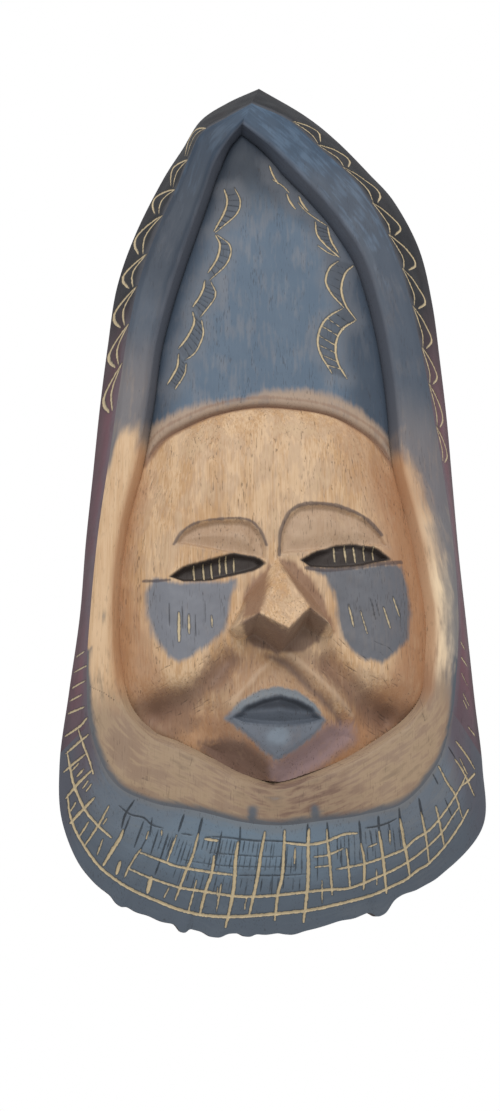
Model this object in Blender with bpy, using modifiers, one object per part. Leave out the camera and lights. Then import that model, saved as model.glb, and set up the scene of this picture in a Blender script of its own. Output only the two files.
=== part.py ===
"""Carved wooden wall mask with two ring hangers, modelled as separate solids.

The mask body is one carved block: a pointed-arch outline with a bevelled edge, a raised rim, a sunk
crown field above, a domed face below, and a hollowed back. Two folded steel straps are screwed to
the flat rim of the back, and each holds a D-shaped ring that swings.

Frame: metres, +Z up, the front of the mask faces -Y and the flat rim of its back lies in Y = 0.
The origin is in that plane, midway between the two rings' hinge axes.
Run with: blender --background --python part.py
"""

import math

import bmesh
import bpy
import numpy as np
from mathutils import Matrix, Vector

MM = 0.001
GAP = 0.3  # clearance between pieces that touch, mm

# ---- mask body, mm -----------------------------------------------------------------------------
# Three lines round the front, as (x, z) from the apex down the left side, along the bottom and up
# the right side. The carving is not symmetric: its apex leans to the left.
OUTLINE = [
    (-10, 170), (-33, 156), (-53, 139), (-66, 114), (-80, 87), (-98, 43), (-110, 0), (-115, -45),
    (-119, -92), (-122, -140), (-125, -187), (-127, -235), (-132, -285), (-136, -330), (-132, -368),
    (-112, -402), (-75, -422), (-38, -431), (-5, -432), (32, -425), (68, -414), (104, -396),
    (133, -366), (135, -328), (132, -285), (129, -235), (126, -187), (124, -140), (122, -90),
    (119, -45), (115, 2), (107, 45), (90, 82), (72, 104), (48, 130), (24, 150), (-10, 170),
]
RIM_OUTER = [
    (-19, 136), (-38, 122), (-55, 108), (-63, 88), (-72, 62), (-84, 30), (-95, -8), (-102, -48),
    (-107, -92), (-112, -140), (-117, -187), (-120, -235), (-121, -280), (-117, -314), (-103, -343),
    (-80, -355), (-52, -360), (-26, -366), (-2, -368), (24, -365), (50, -361), (76, -353),
    (97, -330), (107, -302), (112, -272), (115, -235), (114, -190), (110, -145), (104, -95),
    (98, -52), (89, -2), (78, 34), (62, 68), (46, 88), (30, 103), (8, 124), (-19, 136),
]
RIM_INNER = [
    (-26, 118), (-37, 102), (-46, 84), (-53, 60), (-61, 33), (-69, 6), (-77, -24), (-84, -58),
    (-88, -96), (-94, -138), (-103, -180), (-107, -225), (-105, -268), (-98, -298), (-82, -316),
    (-65, -323), (-46, -332), (-26, -342), (-4, -347), (18, -341), (40, -332), (62, -319),
    (82, -304), (94, -287), (98, -262), (99, -230), (92, -182), (81, -131), (79, -96),
    (76, -60), (70, -22), (60, 16), (46, 42), (33, 60), (17, 78), (-2, 98), (-26, 118),
]
SIDE_SPANS = 14  # stretches of those lines down one side
BASE_SPANS = 8  # stretches along the bottom
SIDE_STEPS = 4  # mesh steps to each stretch
BASE_STEPS = 3

EDGE_THICK = 12.0  # thickness of the block at its outline
RIM_HEIGHT = 43.0  # height of the raised rim above the back
BEVEL_RINGS = (0.33, 0.67)  # shares of the way from the outline to the rim's crest
WALL_WIDTH = 5.0  # width of the sloping wall inside the rim
APEX_TAPER, APEX_WALL = 30.0, 0.4  # it narrows to this share of its width over this height
VALLEY_HEIGHT = 32.0  # height at the foot of that wall
LEAST_HEIGHT = 28.0  # the face is nowhere carved lower than this
CROWN_RISE = 10.0  # how far the crown field swells above the valley
CROWN_SHOULDER = 50.0  # distance over which it does
FACE_RISE = 27.0  # the face swells by this much, over this distance
FACE_SHOULDER = 38.0
BROW_LINE = [(-88, -134), (-61, -113), (-16, -98), (31, -101), (63, -117), (78, -132)]
BROW_BLEND = 14.0  # width of the change from crown to forehead
FOREHEAD_RUN = 75.0  # distance below that line over which the forehead rises
FOREHEAD_LEAST = 0.5  # share of the face's swell that is there at once, under the line

# Nose: a kite-shaped facet that rises towards the tip, sides that fall from its two upper edges,
# wings that end those sides, and an undercut below its two lower edges.
NOSE_TOP, NOSE_LEFT, NOSE_TIP, NOSE_RIGHT = (-6, -214), (-22, -247), (-6, -257), (9, -243)
NOSE_TOP_HEIGHT, NOSE_TIP_HEIGHT = 64.0, 89.0
NOSE_WINGS = [((-18, -208), (-31, -254)), ((26, -254), (6, -208))]
NOSE_UNDER = [(-60, -256), (-29, -252), NOSE_LEFT, NOSE_TIP, NOSE_RIGHT, (24, -252), (60, -256)]
NOSE_SLOPES = {"side": 1.1, "wing": 2.2, "under": 4.0}
NOSE_BLEND = 4.0

# Muzzle: a four-sided mound round the mouth.
MUZZLE_CENTRE = (-6, -303)
MUZZLE_REACH = (44.0, 38.0)
MUZZLE_HEIGHT = 74.0
MUZZLE_DROP = 30.0
MUZZLE_BLEND = 8.0

EYES = [((-42, -212), (32, 8), -8), ((39, -202), (30, 8), 8)]  # centre, half size, tilt in degrees
EYE_DEPTH = 7.0
EYE_EDGE = 1.2  # how far past its half size an eye's slope begins
CHEEK_HOLLOWS = [(-73, -304), (61, -302)]
HOLLOW_SIZE = (20.0, 13.0)
HOLLOW_DEPTH = 11.0

# Zones whose mesh is divided once more, as (x from, x to, z from, z to): the features, the nose.
FINE_ZONES = [(-82, 74, -345, -175), (-34, 22, -276, -200)]

BACK_RIM = 29.0  # width of the flat rim left round the hollow back
CROWN_RADIUS = 56.0  # radius of the hollow's upper end
CROWN_BLEND = 50.0  # height over which the hollow's mouth narrows to it
SPINE_ENDS = (-330.0, 60.0)  # ends of the hollow's middle line
HOLLOW_DEPTHS = [(-400, 15), (-325, 16), (-265, 31), (-150, 31), (-60, 14), (170, 14)]  # z, depth
HOLLOW_RINGS = [0.96, 0.86, 0.66, 0.42, 0.2]  # sizes of its rings, as shares of its mouth
HOLLOW_SIDE = 0.5  # share of its half width over which it reaches its depth

# ---- ring hangers, mm --------------------------------------------------------------------------
HANGER_X = 95.0  # each hanger's distance from the middle
STRAP_WIDTH = 12.0
STRAP_LENGTH = 38.0
STRAP_THICK = 1.6
EYE_OUTER = 2.6
EYE_BORE = 1.6
WIRE = 1.25  # radius of the ring's wire
AXIS_Y = GAP + STRAP_THICK + EYE_BORE  # the ring's hinge axis behind the back's plane
RING_HALF = 8.5  # half the ring's straight leg, to the middle of its wire
RING_SIDE = 5.0  # straight length of its sides before the bow
SCREW_SPOTS = {"upper": -20.0, "lower": -32.0}
HEAD_RADIUS = 3.2
HEAD_HEIGHT = 1.8
SHANK_RADIUS = 1.5
SHANK_LENGTH = 13.0
SLOT_WIDTH = 0.8
SLOT_DEPTH = 0.7


# ---- lines and distances -----------------------------------------------------------------------
def through(points, steps):
    """A Catmull-Rom line through the points. The steps are one number, or one for each stretch."""
    p = np.array(points, float)
    p = np.vstack([2 * p[0] - p[1], p, 2 * p[-1] - p[-2]])
    line = []
    for a, b, c, d, count in zip(p[:-3], p[1:-2], p[2:-1], p[3:], np.broadcast_to(steps, len(p) - 3)):
        t = (np.arange(count) / count)[:, None]
        cubic = (3 * b - a - 3 * c + d) * t**3 + (2 * a - 5 * b + 4 * c - d) * t**2
        line.append(b + 0.5 * ((c - a) * t + cubic))
    return np.vstack(line + [p[-2:-1]])


def distance_to(line, x, z):
    """Distance from each (x, z) to the nearest point of a line of straight stretches."""
    nearest = np.full(np.shape(x), np.inf)
    for (ax, az), (bx, bz) in zip(line[:-1], line[1:]):
        length = (bx - ax) ** 2 + (bz - az) ** 2 + 1e-12
        t = np.clip(((x - ax) * (bx - ax) + (z - az) * (bz - az)) / length, 0, 1)
        nearest = np.minimum(nearest, np.hypot(x - ax - t * (bx - ax), z - az - t * (bz - az)))
    return nearest


def shoulder(share):
    """A quarter circle: 0 at 0, steep at first, flat at 1 and beyond."""
    return np.sqrt(1 - (1 - np.clip(share, 0, 1)) ** 2)


def smooth_max(a, b, blend):
    share = np.clip(0.5 + 0.5 * (a - b) / blend, 0, 1)
    return b + (a - b) * share + blend * share * (1 - share)


def inward(line, amounts):
    """The closed line moved towards its inside by an amount at each point, with mitred corners."""
    along = np.diff(line, axis=0)
    along /= np.linalg.norm(along, axis=1)[:, None]
    after = np.stack([-along[:, 1], along[:, 0]], 1)
    before = np.roll(after, 1, 0)
    mitre = (after + before) / (1 + (after * before).sum(1))[:, None]
    moved = line[:-1] + mitre * amounts[:-1, None]
    return np.vstack([moved, moved[:1]])


# ---- the carved front --------------------------------------------------------------------------
def beyond(start, end, x, z):
    """Distance out past the right-hand side of a line from start to end, and 0 inside it."""
    along_x, along_z = end[0] - start[0], end[1] - start[1]
    out = (x - start[0]) * along_z - (z - start[1]) * along_x
    return np.maximum(out, 0) / math.hypot(along_x, along_z)


def nose_height(x, z):
    """A plane that rises towards the tip, less what its sides, wings and undercut take off."""
    drop = (NOSE_TOP[1] - z) / (NOSE_TOP[1] - NOSE_TIP[1])
    plane = NOSE_TOP_HEIGHT + (NOSE_TIP_HEIGHT - NOSE_TOP_HEIGHT) * np.clip(drop, 0, 1)
    side = np.maximum(beyond(NOSE_TOP, NOSE_LEFT, x, z), beyond(NOSE_RIGHT, NOSE_TOP, x, z))
    wing = np.maximum(*(beyond(*line, x, z) for line in NOSE_WINGS))
    under = np.maximum(np.interp(x, *zip(*NOSE_UNDER)) - z, 0)
    plane = plane - NOSE_SLOPES["side"] * side - NOSE_SLOPES["wing"] * wing
    return plane - NOSE_SLOPES["under"] * under


def front_height(x, z, valley):
    """Height above the back of the carving inside the rim, at (x, z)."""
    brow_line = through(BROW_LINE, SIDE_STEPS)
    from_wall = distance_to(valley, x, z)
    below_line = np.interp(x, brow_line[:, 0], brow_line[:, 1]) - z
    field = VALLEY_HEIGHT + CROWN_RISE * shoulder(from_wall / CROWN_SHOULDER)
    forehead = FOREHEAD_LEAST + (1 - FOREHEAD_LEAST) * shoulder(below_line / FOREHEAD_RUN)
    face = VALLEY_HEIGHT + FACE_RISE * shoulder(from_wall / FACE_SHOULDER) * forehead
    share = np.clip(0.5 + below_line / BROW_BLEND, 0, 1)
    height = field + (face - field) * share
    for cx, cz in CHEEK_HOLLOWS:
        reach = ((x - cx) / HOLLOW_SIZE[0]) ** 2 + ((z - cz) / HOLLOW_SIZE[1]) ** 2
        height = height - HOLLOW_DEPTH * np.exp(-reach)
    across = np.abs(x - MUZZLE_CENTRE[0]) / MUZZLE_REACH[0]
    down = np.abs(z - MUZZLE_CENTRE[1]) / MUZZLE_REACH[1]
    muzzle = MUZZLE_HEIGHT - MUZZLE_DROP * (across + down + np.hypot(across, down)) / 2
    height = smooth_max(height, muzzle, MUZZLE_BLEND)
    height = smooth_max(height, nose_height(x, z), NOSE_BLEND)
    for (cx, cz), (half_x, half_z), tilt in EYES:
        c, s = math.cos(math.radians(tilt)), math.sin(math.radians(tilt))
        u, w = ((x - cx) * c + (z - cz) * s) / half_x, ((z - cz) * c - (x - cx) * s) / half_z
        height = height - EYE_DEPTH * np.clip(EYE_EDGE - u**2 - w**2, 0, 1)
    return np.maximum(height, LEAST_HEIGHT)


def interior_grid(border):
    """Points inside a closed border, as rows from the apex down. The border's left side, bottom and
    right side are the grid's own sides, and its top row is all one point (a Coons patch)."""
    rows, cols = SIDE_SPANS * SIDE_STEPS, BASE_SPANS * BASE_STEPS
    left, base = border[: rows + 1], border[rows : rows + cols + 1]
    right = border[rows + cols :][::-1]
    u, v = np.linspace(0, 1, cols + 1)[None, :, None], np.linspace(0, 1, rows + 1)[:, None, None]
    sides = left[:, None] * (1 - u) + right[:, None] * u
    ends = left[0] * (1 - v) + base[None] * v
    corners = left[0] * (1 - v) + (left[-1] * (1 - u) + right[-1] * u) * v
    return sides + ends - corners


# ---- the mask body -----------------------------------------------------------------------------
def ring_points(line, heights):
    """A closed ring's points in 3D, in metres: its last point, the same as the first, is left out."""
    flat = line[:-1]
    return [Vector((x * MM, -h * MM, z * MM)) for (x, z), h in zip(flat, np.broadcast_to(heights, len(flat)))]


def bridge(bm, first, second):
    """Quads between two closed rings of vertices."""
    for i in range(len(first)):
        j = (i + 1) % len(first)
        bm.faces.new((first[i], first[j], second[j], second[i]))


def within(vertex, x_from, x_to, z_from, z_to):
    return x_from < vertex.co.x / MM < x_to and z_from < vertex.co.z / MM < z_to


def add_front(bm, valley_ring, valley):
    """The crown field and the face, on the grid inside the valley ring."""
    grid = interior_grid(valley)
    rows, cols = SIDE_SPANS * SIDE_STEPS, BASE_SPANS * BASE_STEPS
    around = len(valley_ring)
    before = len(bm.verts)
    made = {}
    for r in range(rows + 1):
        for c in range(cols + 1):
            if r == 0:
                made[r, c] = valley_ring[0]
            elif c == 0:
                made[r, c] = valley_ring[r]
            elif c == cols:
                made[r, c] = valley_ring[around - r]
            elif r == rows:
                made[r, c] = valley_ring[rows + c]
            else:
                made[r, c] = bm.verts.new((grid[r, c, 0] * MM, 0, grid[r, c, 1] * MM))
    for r in range(rows):
        for c in range(cols):
            corners = [made[r, c], made[r + 1, c], made[r + 1, c + 1], made[r, c + 1]]
            bm.faces.new([v for i, v in enumerate(corners) if v not in corners[:i]])
    for zone in FINE_ZONES:
        held = {v for v in list(bm.verts)[before:] if within(v, *zone)}
        edges = [e for e in bm.edges if held.issuperset(e.verts)]
        bmesh.ops.subdivide_edges(bm, edges=edges, cuts=1, use_grid_fill=True)
    inside = list(bm.verts)[before:]
    x, z = (np.array([v.co[axis] / MM for v in inside]) for axis in (0, 2))
    for vertex, height in zip(inside, front_height(x, z, valley)):
        vertex.co.y = -height * MM


def add_back(bm, back_ring, outline):
    """The flat rim of the back, and the hollow, whose rings shrink towards its long middle line."""
    spine = np.stack([np.zeros(len(outline)), np.clip(outline[:, 1], *SPINE_ENDS)], 1)
    reach = outline - spine
    length = np.linalg.norm(reach, axis=1)[:, None]
    above = np.clip((outline[:, 1:] - SPINE_ENDS[1]) / CROWN_BLEND, 0, 1)
    radius = length - BACK_RIM
    radius += (np.minimum(radius, CROWN_RADIUS) - radius) * above
    mouth = spine + reach * radius / length
    last = [bm.verts.new(p) for p in ring_points(mouth, 0)]
    bridge(bm, back_ring, last)
    for size in HOLLOW_RINGS:
        line = spine + (mouth - spine) * size
        depth = np.interp(line[:-1, 1], *np.array(HOLLOW_DEPTHS, float).T)
        heights = depth * shoulder((1 - size) / HOLLOW_SIDE)
        ring = [bm.verts.new(p) for p in ring_points(line, heights)]
        bridge(bm, last, ring)
        last = ring
    for i in range(len(last) // 2):
        corners = [last[i], last[i + 1], last[-i - 1], last[-i]]
        bm.faces.new([v for k, v in enumerate(corners) if v not in corners[:k]])


def make_body(collection, material):
    steps = [SIDE_STEPS] * SIDE_SPANS + [BASE_STEPS] * BASE_SPANS + [SIDE_STEPS] * SIDE_SPANS
    outline, outer, inner = (through(line, steps) for line in (OUTLINE, RIM_OUTER, RIM_INNER))
    from_apex = inner[0, 1] - inner[:, 1]
    valley = inward(inner, WALL_WIDTH * np.clip(from_apex / APEX_TAPER, APEX_WALL, 1))
    bands = [(outline, 0), (outline, EDGE_THICK)]
    for share in BEVEL_RINGS:
        height = EDGE_THICK + (RIM_HEIGHT - EDGE_THICK) * shoulder(share)
        bands.append((outline + (outer - outline) * share, height))
    bands += [(outer, RIM_HEIGHT), (inner, RIM_HEIGHT), (valley, VALLEY_HEIGHT)]
    bm = bmesh.new()
    rings = [[bm.verts.new(p) for p in ring_points(line, h)] for line, h in bands]
    for first, second in zip(rings[:-1], rings[1:]):
        bridge(bm, first, second)
    add_back(bm, rings[0], outline)
    add_front(bm, rings[-1], valley)
    bmesh.ops.recalc_face_normals(bm, faces=bm.faces)
    mesh = bpy.data.meshes.new("mask_body")
    bm.to_mesh(mesh)
    bm.free()
    body = bpy.data.objects.new("mask_body", mesh)
    collection.objects.link(body)
    mesh.materials.append(material)
    mesh.shade_smooth()
    return body


# ---- the hangers -------------------------------------------------------------------------------
def put_in(collection, obj, name, material=None):
    """Names a new object, moves it to a collection and gives it its material."""
    for old in list(obj.users_collection):
        old.objects.unlink(obj)
    collection.objects.link(obj)
    obj.name = obj.data.name = name
    if material:
        obj.data.materials.append(material)
    return obj


def rod(collection, name, radius, length, centre, along, sides=20):
    """A plain cylinder in mm, for a cutter or a piece that is joined to another."""
    turn = Vector((0, 0, 1)).rotation_difference(Vector(along)).to_euler()
    bpy.ops.mesh.primitive_cylinder_add(
        vertices=sides, radius=radius * MM, depth=length * MM, location=Vector(centre) * MM, rotation=turn
    )
    helper = put_in(collection, bpy.context.active_object, name)
    helper.hide_render = True
    helper.display_type = "WIRE"
    return helper


def combine(obj, other, operation):
    modifier = obj.modifiers.new(other.name, "BOOLEAN")
    modifier.object = other
    modifier.operation = operation


def make_strap(parts, cutters, side, x, material):
    """A folded strap, flat on the back's rim, whose eye holds the ring's straight leg."""
    name = f"{side}_hanger_strap"
    middle = GAP + STRAP_THICK / 2
    bpy.ops.mesh.primitive_cube_add(size=1, location=Vector((x, middle, -STRAP_LENGTH / 2)) * MM)
    strap = put_in(parts, bpy.context.active_object, name, material)
    size = Vector((STRAP_WIDTH, STRAP_THICK, STRAP_LENGTH)) * MM
    strap.data.transform(Matrix.Diagonal((*size, 1)))
    corners = strap.modifiers.new("rounded corners", "BEVEL")
    corners.width = 0.4 * MM
    corners.segments = 2
    axis = (x, AXIS_Y, 0)
    eye = rod(cutters, name + "_eye", EYE_OUTER, STRAP_WIDTH, axis, (1, 0, 0), 32)
    combine(strap, eye, "UNION")
    combine(strap, rod(cutters, name + "_bore", EYE_BORE, 2 * STRAP_WIDTH, axis, (1, 0, 0), 32), "DIFFERENCE")
    for spot, z in SCREW_SPOTS.items():
        hole = rod(cutters, f"{name}_{spot}_hole", SHANK_RADIUS + GAP, 3 * STRAP_THICK, (x, middle, z), (0, 1, 0))
        combine(strap, hole, "DIFFERENCE")


def make_ring(parts, side, x, material):
    """The D-shaped ring, hanging from its straight leg, which turns in the strap's eye."""
    corner, bow_steps = 2.0, 24
    points = [(-RING_HALF + corner, 0), (-RING_HALF + 0.3 * corner, -0.3 * corner), (-RING_HALF, -corner)]
    for i in range(bow_steps + 1):
        angle = math.pi * (1 + i / bow_steps)
        points.append((RING_HALF * math.cos(angle), -RING_SIDE + RING_HALF * math.sin(angle)))
    points += [(-px, pz) for px, pz in points[2::-1]]
    curve = bpy.data.curves.new(f"{side}_hanger_ring", "CURVE")
    curve.dimensions = "3D"
    curve.bevel_depth = WIRE * MM
    curve.bevel_resolution = 4
    spline = curve.splines.new("POLY")
    spline.points.add(len(points) - 1)
    for point, (px, pz) in zip(spline.points, points):
        point.co = (px * MM, 0, pz * MM, 1)
    spline.use_cyclic_u = True
    curve.materials.append(material)
    ring = bpy.data.objects.new(f"{side}_hanger_ring", curve)
    ring.location = Vector((x, AXIS_Y, 0)) * MM
    parts.objects.link(ring)


def make_screw(parts, cutters, body, name, x, z, material):
    """A slotted pan-head screw through the strap, and its pilot hole in the wood."""
    seat = GAP + STRAP_THICK + GAP
    profile = [
        (0, HEAD_HEIGHT), (0.7 * HEAD_RADIUS, 0.95 * HEAD_HEIGHT), (HEAD_RADIUS, 0.5 * HEAD_HEIGHT),
        (HEAD_RADIUS, 0), (SHANK_RADIUS, 0), (SHANK_RADIUS, 2 - SHANK_LENGTH), (0, -SHANK_LENGTH),
    ]
    mesh = bpy.data.meshes.new(name)
    corners = [(r * MM, 0, h * MM) for r, h in profile]
    mesh.from_pydata(corners, [(i, i + 1) for i in range(len(profile) - 1)], [])
    mesh.materials.append(material)
    screw = bpy.data.objects.new(name, mesh)
    screw.location = Vector((x, seat, z)) * MM
    screw.rotation_euler = (-math.pi / 2, 0, 0)
    parts.objects.link(screw)
    turned = screw.modifiers.new("turned", "SCREW")
    turned.steps = turned.render_steps = 20
    turned.use_merge_vertices = True
    turned.merge_threshold = 0.00001
    bpy.ops.mesh.primitive_cube_add(size=1, location=Vector((x, seat + HEAD_HEIGHT, z)) * MM)
    slot = put_in(cutters, bpy.context.active_object, name + "_slot")
    slot.data.transform(Matrix.Diagonal((4 * HEAD_RADIUS * MM, 2 * SLOT_DEPTH * MM, SLOT_WIDTH * MM, 1)))
    slot.hide_render = True
    slot.display_type = "WIRE"
    combine(screw, slot, "DIFFERENCE")
    depth = SHANK_LENGTH - seat + GAP
    pilot = rod(cutters, name + "_pilot", SHANK_RADIUS + GAP, 2 * depth, (x, 0, z), (0, 1, 0))
    combine(body, pilot, "DIFFERENCE")


# ---- assembly ----------------------------------------------------------------------------------
def make_material(name, colour, roughness, metallic=0.0):
    material = bpy.data.materials.new(name)
    material.use_nodes = True
    shader = material.node_tree.nodes["Principled BSDF"]
    shader.inputs["Base Color"].default_value = (*colour, 1)
    shader.inputs["Roughness"].default_value = roughness
    shader.inputs["Metallic"].default_value = metallic
    return material


def make_collection(name):
    collection = bpy.data.collections.new(name)
    bpy.context.scene.collection.children.link(collection)
    return collection


def main():
    for obj in list(bpy.data.objects):
        bpy.data.objects.remove(obj)
    parts, cutters = make_collection("carved_mask"), make_collection("cutters")
    wood = make_material("carved_wood", (0.42, 0.27, 0.15), 0.6)
    plated = make_material("plated_steel", (0.62, 0.6, 0.55), 0.35, 1.0)
    screw_steel = make_material("screw_steel", (0.66, 0.58, 0.36), 0.4, 1.0)
    body = make_body(parts, wood)
    for side, x in (("left", -HANGER_X), ("right", HANGER_X)):
        make_strap(parts, cutters, side, x, plated)
        make_ring(parts, side, x, plated)
        for spot, z in SCREW_SPOTS.items():
            make_screw(parts, cutters, body, f"{side}_{spot}_screw", x, z, screw_steel)


main()
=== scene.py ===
"""A carved and stained wooden wall mask, built round its frame.

The carved block is worked out as heights above the flat of its back over (x, z) in millimetres, as
seen from the front, and put into meshes in metres: a height h lies at y = -h.
"""

import math
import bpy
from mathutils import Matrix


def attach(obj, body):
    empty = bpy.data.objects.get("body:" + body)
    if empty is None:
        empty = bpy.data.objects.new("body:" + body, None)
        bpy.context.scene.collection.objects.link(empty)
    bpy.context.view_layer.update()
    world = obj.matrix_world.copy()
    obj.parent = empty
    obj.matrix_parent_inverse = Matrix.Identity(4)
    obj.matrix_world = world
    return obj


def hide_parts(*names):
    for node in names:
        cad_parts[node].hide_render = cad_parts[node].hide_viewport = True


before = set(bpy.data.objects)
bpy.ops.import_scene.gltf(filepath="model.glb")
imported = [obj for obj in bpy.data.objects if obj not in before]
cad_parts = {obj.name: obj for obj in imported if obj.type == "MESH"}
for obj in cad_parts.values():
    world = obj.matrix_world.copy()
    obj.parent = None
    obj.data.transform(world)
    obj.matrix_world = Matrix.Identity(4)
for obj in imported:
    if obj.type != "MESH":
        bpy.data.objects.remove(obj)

from types import SimpleNamespace

import bmesh
import bpy
import numpy as np
from bpy.props import FloatProperty, FloatVectorProperty, PointerProperty
from bpy.types import Operator, Panel, PropertyGroup
from mathutils import Vector

bl_info = {
    "name": "Carved Wall Mask",
    "version": (1, 0, 0),
    "blender": (4, 5, 0),
    "location": "View3D > Sidebar > Mask",
    "description": "Builds the carved and stained block of a wooden wall mask, its hangers and a stage",
    "category": "Add Mesh",
}

MM = 0.001
ALL_OVER, FAR = 50.0, 99.0  # distances that put every point inside a stain, and out of reach of a line
CUT_REACH = 5.0  # how far from a cut its distances are worked out
CUT_WALL, CUT_START = 0.9, 0.3  # width of a cut's sides, and the share of it that lies outside the cut
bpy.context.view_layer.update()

# ---- lines of the carving, as (x, z) in mm ------------------------------------------------------
# From the apex down the left side, along the bottom and up the right side.
OUTLINE = [
    (-10, 170), (-33, 156), (-53, 139), (-66, 114), (-80, 87), (-98, 43), (-110, 0), (-115, -45),
    (-119, -92), (-122, -140), (-125, -187), (-127, -235), (-132, -285), (-136, -330), (-132, -368),
    (-112, -402), (-75, -422), (-38, -431), (-5, -432), (32, -425), (68, -414), (104, -396),
    (133, -366), (135, -328), (132, -285), (129, -235), (126, -187), (124, -140), (122, -90),
    (119, -45), (115, 2), (107, 45), (90, 82), (72, 104), (48, 130), (24, 150), (-10, 170),
]
RIM_OUTER = [
    (-19, 136), (-38, 122), (-55, 108), (-63, 88), (-72, 62), (-84, 30), (-95, -8), (-102, -48),
    (-107, -92), (-112, -140), (-117, -187), (-120, -235), (-121, -280), (-117, -314), (-103, -343),
    (-80, -355), (-52, -360), (-26, -366), (-2, -368), (24, -365), (50, -361), (76, -353),
    (97, -330), (107, -302), (112, -272), (115, -235), (114, -190), (110, -145), (104, -95),
    (98, -52), (89, -2), (78, 34), (62, 68), (46, 88), (30, 103), (8, 124), (-19, 136),
]
RIM_INNER = [
    (-26, 118), (-37, 102), (-46, 84), (-53, 60), (-61, 33), (-69, 6), (-77, -24), (-84, -58),
    (-88, -96), (-94, -138), (-103, -180), (-107, -225), (-105, -268), (-98, -298), (-82, -316),
    (-65, -323), (-46, -332), (-26, -342), (-4, -347), (18, -341), (40, -332), (62, -319),
    (82, -304), (94, -287), (98, -262), (99, -230), (92, -182), (81, -131), (79, -96),
    (76, -60), (70, -22), (60, 16), (46, 42), (33, 60), (17, 78), (-2, 98), (-26, 118),
]
BROW_ARCH = [(-77, -123), (-61, -113), (-41, -104), (-16, -98), (9, -98), (31, -101), (48, -108),
             (64, -118)]

CROWN_SPANS, FACE_SPANS, BASE_SPANS = 9, 5, 8  # stretches beside the crown, beside the face, below it
CROWN_STEPS, FACE_STEPS, BASE_STEPS = 37, 72, 34  # mesh steps to each stretch
CROWN_ROWS, FACE_ROWS = CROWN_SPANS * CROWN_STEPS, FACE_SPANS * FACE_STEPS
SIDE_ROWS, COLUMNS = CROWN_ROWS + FACE_ROWS, BASE_SPANS * BASE_STEPS
BEARD_START = SIDE_ROWS - 84  # the beard begins this many steps from the apex, on each side
BAND_STEPS, BAND_ROWS, BEARD_STEPS, BEARD_ROWS = 1999, 49, 839, 116  # steps along each and rows down it
WALL_ROWS, TOP_ROWS = 8, 17  # rows of the rim's wall and of its top
WALL_WIDTH = 5.0  # width of the sloped wall inside the rim
VALLEY = [(-350, 7.5), (-300, 6), (-260, 4.5), (-130, 3), (-60, 1.5), (120, 0)]  # z, rise of its foot
APEX_TAPER, APEX_WALL = 30.0, 0.4  # it narrows to this share of its width over this height
CREST_LOSS = 0.9  # what rounding takes off the rim's crests
BEARD_WIDTH = 66.0  # usual width of the beard
WEAR = 1.6  # how uneven the bottom edge is
CHIPS = [(-58, 3.5, 3.5), (-38, 6, 2.6), (-18, 4, 1.8), (66, 6, 5.0), (-97, 4, 2.5)]  # x, reach, drop

# ---- forms of the face, in mm -------------------------------------------------------------------
LEFT_EYE = [(-72, -219), (-64, -213), (-48, -208), (-32, -203), (-19, -204), (-13, -209), (-19, -213),
            (-32, -217), (-48, -221), (-64, -222)]
RIGHT_EYE = [(10, -206), (20, -200), (33, -195), (46, -194), (58, -196), (68, -202), (63, -204),
             (49, -208), (33, -210), (16, -210)]
LEFT_BROW = [(-70, -198), (-65, -190), (-56, -184), (-43, -181), (-30, -180), (-21, -182), (-15, -189),
             (-12, -197), (-12, -207)]
RIGHT_BROW = [(-4, -203), (-3, -188), (2, -176), (9, -170), (20, -168), (33, -169), (45, -173),
              (54, -178), (63, -186), (68, -194)]
NOSE_TOP, NOSE_LEFT, NOSE_TIP, NOSE_RIGHT = (-5, -212), (-20, -247), (-3, -257), (11, -242)
NOSE_UNDER = [(-60, -256), (-29, -252), (-20, -247), (-3, -257), (11, -242), (24, -250), (60, -256)]
LEFT_WING, RIGHT_WING = [(-18, -208), (-31, -254)], [(6, -208), (26, -254)]
LIPS = [(-37, -306), (-28, -296), (-16, -289), (-6, -287), (6, -289), (17, -296), (25, -306), (18, -315),
        (7, -323), (-5, -331), (-16, -323), (-27, -314)]
MOUTH = [(-34, -306), (-25, -299), (-15, -295), (-5, -293), (6, -295), (15, -299), (23, -306), (14, -309),
         (3, -311), (-6, -312), (-16, -311), (-27, -309)]
MUZZLE_CENTRE, MUZZLE_REACH = (-6, -303), (44, 38)
MUZZLE_FALL = 30  # how much lower its edges are at that reach
EDGE_REACH = 4  # the grooves and tool marks fade out this close to the wall
CROWN_REACH, FACE_REACH, ARCH_REACH = 36, 40, 55  # distances over which the crown and the face swell
NOSE_SLOPES = 1.45, 2.2, 4.0  # how steeply its sides, its wings and its underside fall
FOLD_REACH, MUZZLE_CUT_REACH, RIDGE_REACH, RIDGE_HEIGHT = 8, 4, 3.5, 1.6
LOWEST = 28  # no part of the face is cut lower than this above the back
CHEEK_HOLLOWS = [(-73, -301, 23, 14, 7.5), (62, -300, 22, 13, 7)]  # x, z, half sizes, depth
FOLDS = [[(-36, -271), (-44, -281), (-58, -292), (-76, -299)],
         [(28, -271), (36, -280), (48, -291), (64, -299)]]
RIDGES = [[(-9, -270), (-20, -281), (-34, -297)], [(2, -267), (18, -279), (30, -290), (42, -302)]]
MUZZLE_LINES = [[(-10, -268), (0, -272), (12, -284), (22, -293), (30, -301), (35, -307)],
                [(-14, -272), (-27, -285), (-41, -297), (-47, -306), (-54, -313)]]

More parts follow.
